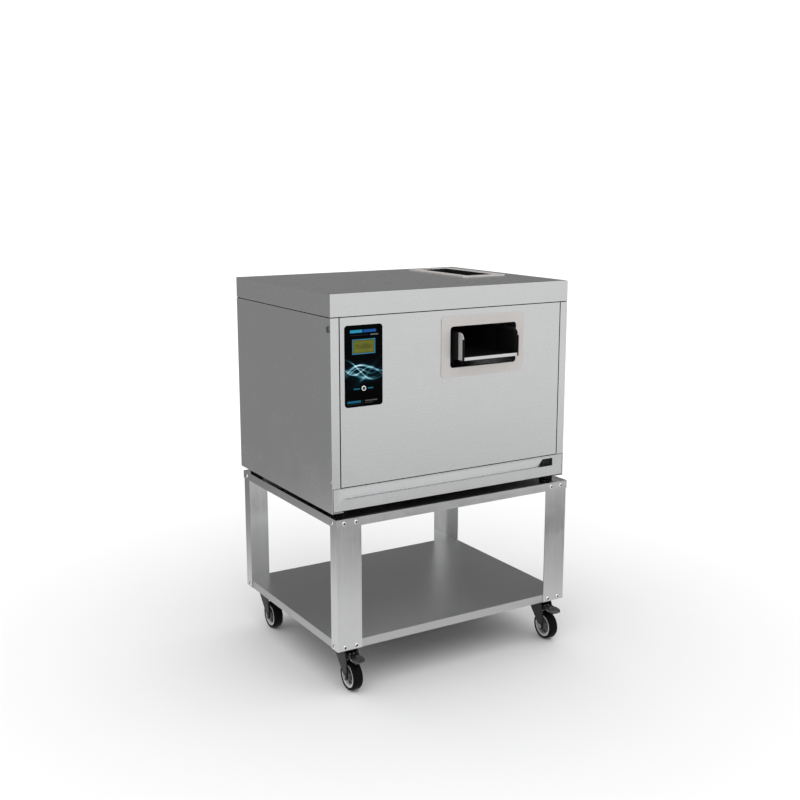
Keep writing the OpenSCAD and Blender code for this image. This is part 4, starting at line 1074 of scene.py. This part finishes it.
def resample(points, n):
    ring = [Vector(q) for q in points]
    total = [0.0]
    for i in range(len(ring)):
        total.append(total[-1] + (ring[(i + 1) % len(ring)] - ring[i]).length)
    res = []
    for k in range(n):
        d = total[-1] * k / n
        i = max(j for j in range(len(ring)) if total[j] <= d + 1e-9)
        seg_len = total[i + 1] - total[i]
        t = (d - total[i]) / seg_len if seg_len else 0
        res.append(tuple(ring[i].lerp(ring[(i + 1) % len(ring)], t)))
    return res


def around(points, n, centre):
    """n points on the outline, at even angles about the centre."""
    res = []
    ring = [Vector(q) for q in points]
    for k in range(n):
        a = 2 * math.pi * k / n + 0.01
        d = Vector((math.cos(a), math.sin(a)))
        best = None
        for i in range(len(ring)):
            p0, p1 = ring[i] - Vector(centre), ring[(i + 1) % len(ring)] - Vector(centre)
            e = p1 - p0
            den = d.x * e.y - d.y * e.x
            if abs(den) < 1e-9:
                continue
            t = (p0.x * e.y - p0.y * e.x) / den
            u = (p0.x * d.y - p0.y * d.x) / den
            if t > 0 and -1e-9 <= u <= 1 + 1e-9 and (best is None or t < best):
                best = t
        res.append((centre[0] + d.x * best, centre[1] + d.y * best))
    return res


cen = (590, 531)
NN = 96
o_pts, h_pts = around(out, NN, cen), around(hole, NN, cen)
inner = [(cen[0] + (q[0] - cen[0]) * 0.975, cen[1] + (q[1] - cen[1]) * 0.96) for q in o_pts]
body = around(rounded(576.3, 603.7, 521.3, 540.7, 1.5), NN, cen)
L = [loop(h_pts, yb - 15.9), loop(h_pts, yb + 0.9), loop(inner, yb + 1.0), loop(o_pts, yb + 0.4), loop(o_pts, yb + 0.02), loop(body, yb + 0.02), loop(body, yb - 22)]
for a, b in zip(L, L[1:]):
    span(a, b)
bm.faces.new(L[0])
bm.faces.new(L[-1])
finish_mesh(bm, "mains_inlet", "black", "root", 30, ("power_inlet",))
bm = bmesh.new()
for x in (583, 590, 597):
    z = 533.2 if x == 590 else 528.8
    add_box(bm, P(x - 0.9, yb - 16.2, z - 2.2), P(x + 0.9, yb - 3.5, z + 2.2), 0.4, 2)
    add_box(bm, P(x - 2.4, yb - 30, 530), P(x + 2.4, yb - 21.8, 530.8), 0.2, 1)
finish_mesh(bm, "inlet_blades", "spring", "root", 35)
bm = bmesh.new()
for x in (571, 609):
    add_lathe(bm, [(0, 0.4), (1.2, 0.5), (1.2, 0.95), (2.6, 0.6), (2.9, 0.1), (2.9, -0.1), (0, -0.1)], 24, axis_matrix(P(x, yb + 0.95, 531), (0, 1, 0)), closed=False)
finish_mesh(bm, "inlet_screws", "screw", "root", 40)

# ------------------------------------------------------------------ main switch contacts, machine feet
bm = bmesh.new()
for x in (638, 647.5, 657):
    add_box(bm, P(x - 2.4, 24, 496), P(x + 2.4, 31, 496.8), 0.2, 1)
finish_mesh(bm, "switch_contacts", "spring", "root", 35)
bm = bmesh.new()
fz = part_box("machine_feet")[0].z / MM
for x in (32, 668):
    for y in (32, 510.5):
        add_lathe(bm, soften([(0, 0), (16.6, 0), (17.9, 1.2), (17.2, 8.6), (16.2, 10.1), (0, 10.1)], 0.5), 56, axis_matrix(P(x, y, fz), (0, 0, 1)), closed=False)
finish_mesh(bm, "rubber_feet", "rubber", "root", 35, ("machine_feet",))
bm = bmesh.new()
for x in (32, 668):
    for y in (32, 510.5):
        add_lathe(bm, [(0, 10.0), (3.95, 10.0), (3.95, 25.2), (3.3, 26.0), (0, 26.0)], 32, axis_matrix(P(x, y, fz), (0, 0, 1)), closed=False)
        part_m = axis_matrix(P(x, y, fz + 14.9), (0, 0, 1))
        add_prism(bm, circle(0, 0, 7.2, 6), P(x, y, fz + 15.0), (1, 0, 0), (0, 1, 0), 5.5, 0.35, 2)
finish_mesh(bm, "feet_studs", "screw", "root", 35)

# ------------------------------------------------------------------ painted shade: dark strips in the gaps, a black sheet in the inlet trough
door_lo, door_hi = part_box("door_panel")
cap_lo, cap_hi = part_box("top_cover")
body_z, cap_z, rail_z = door_hi.z / MM, cap_lo.z / MM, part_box("front_rail")[1].z / MM
# near-black rubber strips behind and inside the gaps round the door, stile and cover, so the seams read black: painted
# shade in the gaps
bm = bmesh.new()
for mx in (0, 1):
    def sx_(x):
        return 700 - x if mx else x

    def strip(x0, y0, z0, x1, y1, z1, r=0.3):
        add_box(bm, P(min(sx_(x0), sx_(x1)), y0, z0), P(max(sx_(x0), sx_(x1)), y1, z1), r, 2)

    strip(19.0, 1.55, 520, 22.2, 9.0, body_z - 0.4)             # behind the stile
    strip(22.1, 0.55, 517.5, 24.35, 9.0, body_z - 0.4)          # in the gap beside the door
    strip(0.75, 1.55, body_z + 0.05, 2.95, 538.5, cap_z - 0.05, 0.2)  # in the joggle under the cover
strip_y = 4.5
add_box(bm, P(6, 0.9, body_z + 0.4), P(694, strip_y, cap_z - 0.05), 0.25, 2)
add_box(bm, P(6, 1.55, cap_z - 0.05), P(694, strip_y, cap_z + 5), 0.3, 2)
add_box(bm, P(26, 3.0, rail_z + 0.02), P(674, 19, rail_z + 1.1), 0.3, 2)
finish_mesh(bm, "seam_shade_strips", "gasket", "root", 35)
bm = bmesh.new()
# black sheets on the walls and floor of the inlet trough: painted shade inside the inlet
slope = (947.9 - 874) / 176.0
black_lining_and_shade = [(455.6, 230, 0), (628.0, 230, 0), (628.0, 464, 0)]


def wall(points, z_hi, t=1.0):
    """Upright black sheet along a line of (x, y), from the trough's floor to z_hi: painted shade inside the inlet."""
    for (xa, ya), (xb, yb) in zip(points, points[1:]):
        d = Vector((xb - xa, yb - ya, 0)).normalized()
        nrm = Vector((-d.y, d.x, 0)) * t
        za, zb = 876.4 + (xa - 455) * slope, 876.4 + (xb - 455) * slope
        lowers = [P(xa, ya, za), P(xb, yb, zb), P(xb + nrm.x, yb + nrm.y, zb), P(xa + nrm.x, ya + nrm.y, za)]
        uppers = [P(q[0], q[1], z_hi) for q in ((xa, ya), (xb, yb), (xb + nrm.x, yb + nrm.y), (xa + nrm.x, ya + nrm.y))]
        vs = [bm.verts.new(v) for v in lowers + uppers]
        for f in ((0, 1, 2, 3), (4, 5, 6, 7), (0, 1, 5, 4), (1, 2, 6, 5), (2, 3, 7, 6), (3, 0, 4, 7)):
            bm.faces.new([vs[i] for i in f])


wall([(456, 228.0), (627.6, 228.0)], 965.5)
wall([(627.8, 229.2), (627.8, 465.0)], 965.5)
wall([(627.6, 466.2), (536.6, 466.2)], 965.5)
part = [bm.verts.new(P(x, y, 872.6 + (x - 450) * slope + dz_)) for dz_ in (0.0, 1.2) for x, y in ((456.5, 229.3), (626.5, 229.3), (626.5, 464.9), (537.0, 464.9), (456.5, 397.5))]
for f in ((0, 1, 2, 3, 4), (9, 8, 7, 6, 5), (0, 1, 6, 5), (1, 2, 7, 6), (2, 3, 8, 7), (3, 4, 9, 8), (4, 0, 5, 9)):
    bm.faces.new([part[i] for i in f])
finish_mesh(bm, "trough_shade_sheet", "rubber", "root", 35)

# ------------------------------------------------------------------ floor, world, lights, camera
bm = bmesh.new()
R = 14.0
centre = bm.verts.new((0, 0, 0))
rings = [[bm.verts.new((r * math.cos(2 * math.pi * i / 64), r * math.sin(2 * math.pi * i / 64), 0)) for i in range(64)] for r in (1.5, 5.0, R)]
for i in range(64):
    bm.faces.new((centre, rings[0][i], rings[0][(i + 1) % 64]))
for a, b in zip(rings, rings[1:]):
    for i in range(64):
        bm.faces.new((a[i], b[i], b[(i + 1) % 64], a[(i + 1) % 64]))
floor = finish_mesh(bm, "floor", "floor")
floor.visible_glossy = False

world = bpy.data.worlds.new("studio")
scene.world = world
world.use_nodes = True
if hasattr(world, "cycles"):
    world.cycles.sampling_method = "NONE"
nt = world.node_tree
for nd in list(nt.nodes):
    nt.nodes.remove(nd)


def wn(kind, **props):
    nd = nt.nodes.new(kind)
    for k, v in props.items():
        setattr(nd, k, v)
    return nd


def wput(s, v):
    if isinstance(v, bpy.types.NodeSocket):
        nt.links.new(v, s)
    else:
        s.default_value = v


def wm(op, a, b=0.0, c=0.0, clamp=False):
    nd = wn("ShaderNodeMath", operation=op, use_clamp=clamp)
    for s_, v in zip(nd.inputs, (a, b, c)):
        wput(s_, v)
    return nd.outputs[0]


direction = wn("ShaderNodeTexCoord").outputs["Generated"]
sepn = wn("ShaderNodeSeparateXYZ")
wput(sepn.inputs[0], direction)
dx, dy, dz = sepn.outputs


def lobe(az, el, width, power):
    """Soft bright patch of the studio, at an azimuth from +X and an elevation, in degrees."""
    v = Vector((math.cos(math.radians(az)) * math.cos(math.radians(el)), math.sin(math.radians(az)) * math.cos(math.radians(el)), math.sin(math.radians(el))))
    d = wm("ADD", wm("ADD", wm("MULTIPLY", dx, v.x), wm("MULTIPLY", dy, v.y)), wm("MULTIPLY", dz, v.z))
    e = wn("ShaderNodeMapRange", interpolation_type="SMOOTHERSTEP")
    for s_, x in zip(e.inputs, (d, math.cos(math.radians(width)), 1.0, 0.0, power)):
        wput(s_, x)
    return e.outputs[0]


def band(el, width, power):
    """Change of brightness in a band of elevation all round, in degrees."""
    u = wm("DIVIDE", wm("SUBTRACT", dz, math.sin(math.radians(el))), math.sin(math.radians(width)))
    return wm("DIVIDE", power, wm("ADD", wm("MULTIPLY", wm("MULTIPLY", u, u), wm("MULTIPLY", u, u)), 1.0))


def total(*terms):
    out = terms[0]
    for t in terms[1:]:
        out = wm("ADD", out, t)
    return out


def profile(v, lo, hi, stops):
    """Brightness along a direction component, from (component, value) pairs."""
    e = wn("ShaderNodeMapRange")
    for s_, x in zip(e.inputs, (v, lo, hi, 0.0, 1.0)):
        wput(s_, x)
    r = wn("ShaderNodeValToRGB")
    nt.links.new(e.outputs[0], r.inputs[0])
    el = r.color_ramp.elements
    while len(el) < len(stops):
        el.new(0.5)
    for item, (p, c) in zip(el, stops):
        item.position = (p - lo) / (hi - lo)
        item.color = (c, c, c, 1.0)
    return r.outputs["Color"]


# a white sweep in front and low down, a darker room behind, and a soft dip where floor meets wall
sweep = profile(dz, -0.6, 0.3, [(-0.6, 0.95), (-0.368, 0.97), (-0.335, 0.58), (-0.300, 0.05), (-0.272, 0.40), (-0.246, 1.10), (-0.21, 1.13), (-0.14, 1.05), (0.3, 1.04)])
low = profile(dz, -0.6, 0.3, [(-0.6, 0.97), (-0.39, 0.97), (-0.345, 0.86), (-0.310, 0.44), (-0.280, 0.27), (-0.20, 0.30), (0.1, 0.30), (0.3, 0.27)])
side_tone = wm("ADD", 1.0, wm("MULTIPLY", wm("MULTIPLY", dx, -0.30), wm("GREATER_THAN", dz, -0.24)))
rear = wm("MULTIPLY", low, side_tone)
facing = wn("ShaderNodeMapRange", interpolation_type="SMOOTHSTEP")
for s_, x in zip(facing.inputs, (dy, 0.05, -0.40, 0.0, 1.0)):
    wput(s_, x)
blend_ = wn("ShaderNodeMix", data_type="FLOAT")
wput(blend_.inputs[0], facing.outputs[0])
wput(blend_.inputs[2], rear)
wput(blend_.inputs[3], sweep)
GLOSS = total(blend_.outputs[0], lobe(-128.0, 38.0, 48.0, 0.35), lobe(-21.0, 60.0, 36.0, 1.1), lobe(0.0, 90.0, 50.0, 0.30))
DIFF = total(profile(dz, 0.0, 1.0, [(0.0, 0.60), (0.3, 0.86), (0.7, 1.15), (1.0, 1.32)]), lobe(-100.0, 45.0, 80.0, 0.14))
lp = wn("ShaderNodeLightPath").outputs
# light that has already left a surface meets the floor below the horizon, not the studio
leak = wm("MULTIPLY", wm("GREATER_THAN", lp["Diffuse Depth"], 0.5), wm("LESS_THAN", dz, 0.0))
pick = wn("ShaderNodeMix", data_type="FLOAT")
wput(pick.inputs[0], lp["Is Diffuse Ray"])
wput(pick.inputs[2], wm("MULTIPLY", GLOSS, wm("SUBTRACT", 1.0, wm("MULTIPLY", leak, 0.97))))
wput(pick.inputs[3], DIFF)
pick2 = wn("ShaderNodeMix", data_type="FLOAT")
wput(pick2.inputs[0], lp["Is Camera Ray"])
wput(pick2.inputs[2], pick.outputs[0])
wput(pick2.inputs[3], 1.05)
bg = wn("ShaderNodeBackground")
bg.inputs["Color"].default_value = (1, 1, 1, 1)
wput(bg.inputs["Strength"], pick2.outputs[0])
outw = wn("ShaderNodeOutputWorld")
nt.links.new(bg.outputs[0], outw.inputs[0])


def area(name, where, target, size, power, size_y=None):
    light = bpy.data.lights.new(name, "AREA")
    light.energy = power
    light.size = size
    if size_y:
        light.shape = "RECTANGLE"
        light.size_y = size_y
    o = bpy.data.objects.new(name, light)
    o.location = where
    o.rotation_euler = (Vector(target) - Vector(where)).to_track_quat("-Z", "Y").to_euler()
    scene.collection.objects.link(o)
    return o


key = area("soft_key", (-1.6, -2.6, 3.0), (0.0, 0.0, 0.5), 1.6, 9.0)

cam = bpy.data.cameras.new("camera")
cam.lens = 49.747
cam.sensor_width = 36.0
cam.sensor_fit = "HORIZONTAL"
cam.clip_start, cam.clip_end = 0.05, 60.0
co = bpy.data.objects.new("camera", cam)
co.location = (-1.5221, -2.4882, 1.2355)
co.rotation_euler = (math.radians(90 - 11.252), 0.0, math.radians(-31.242))
scene.collection.objects.link(co)
scene.camera = co
scene.view_settings.view_transform = "Standard"
scene.view_settings.look = "None"
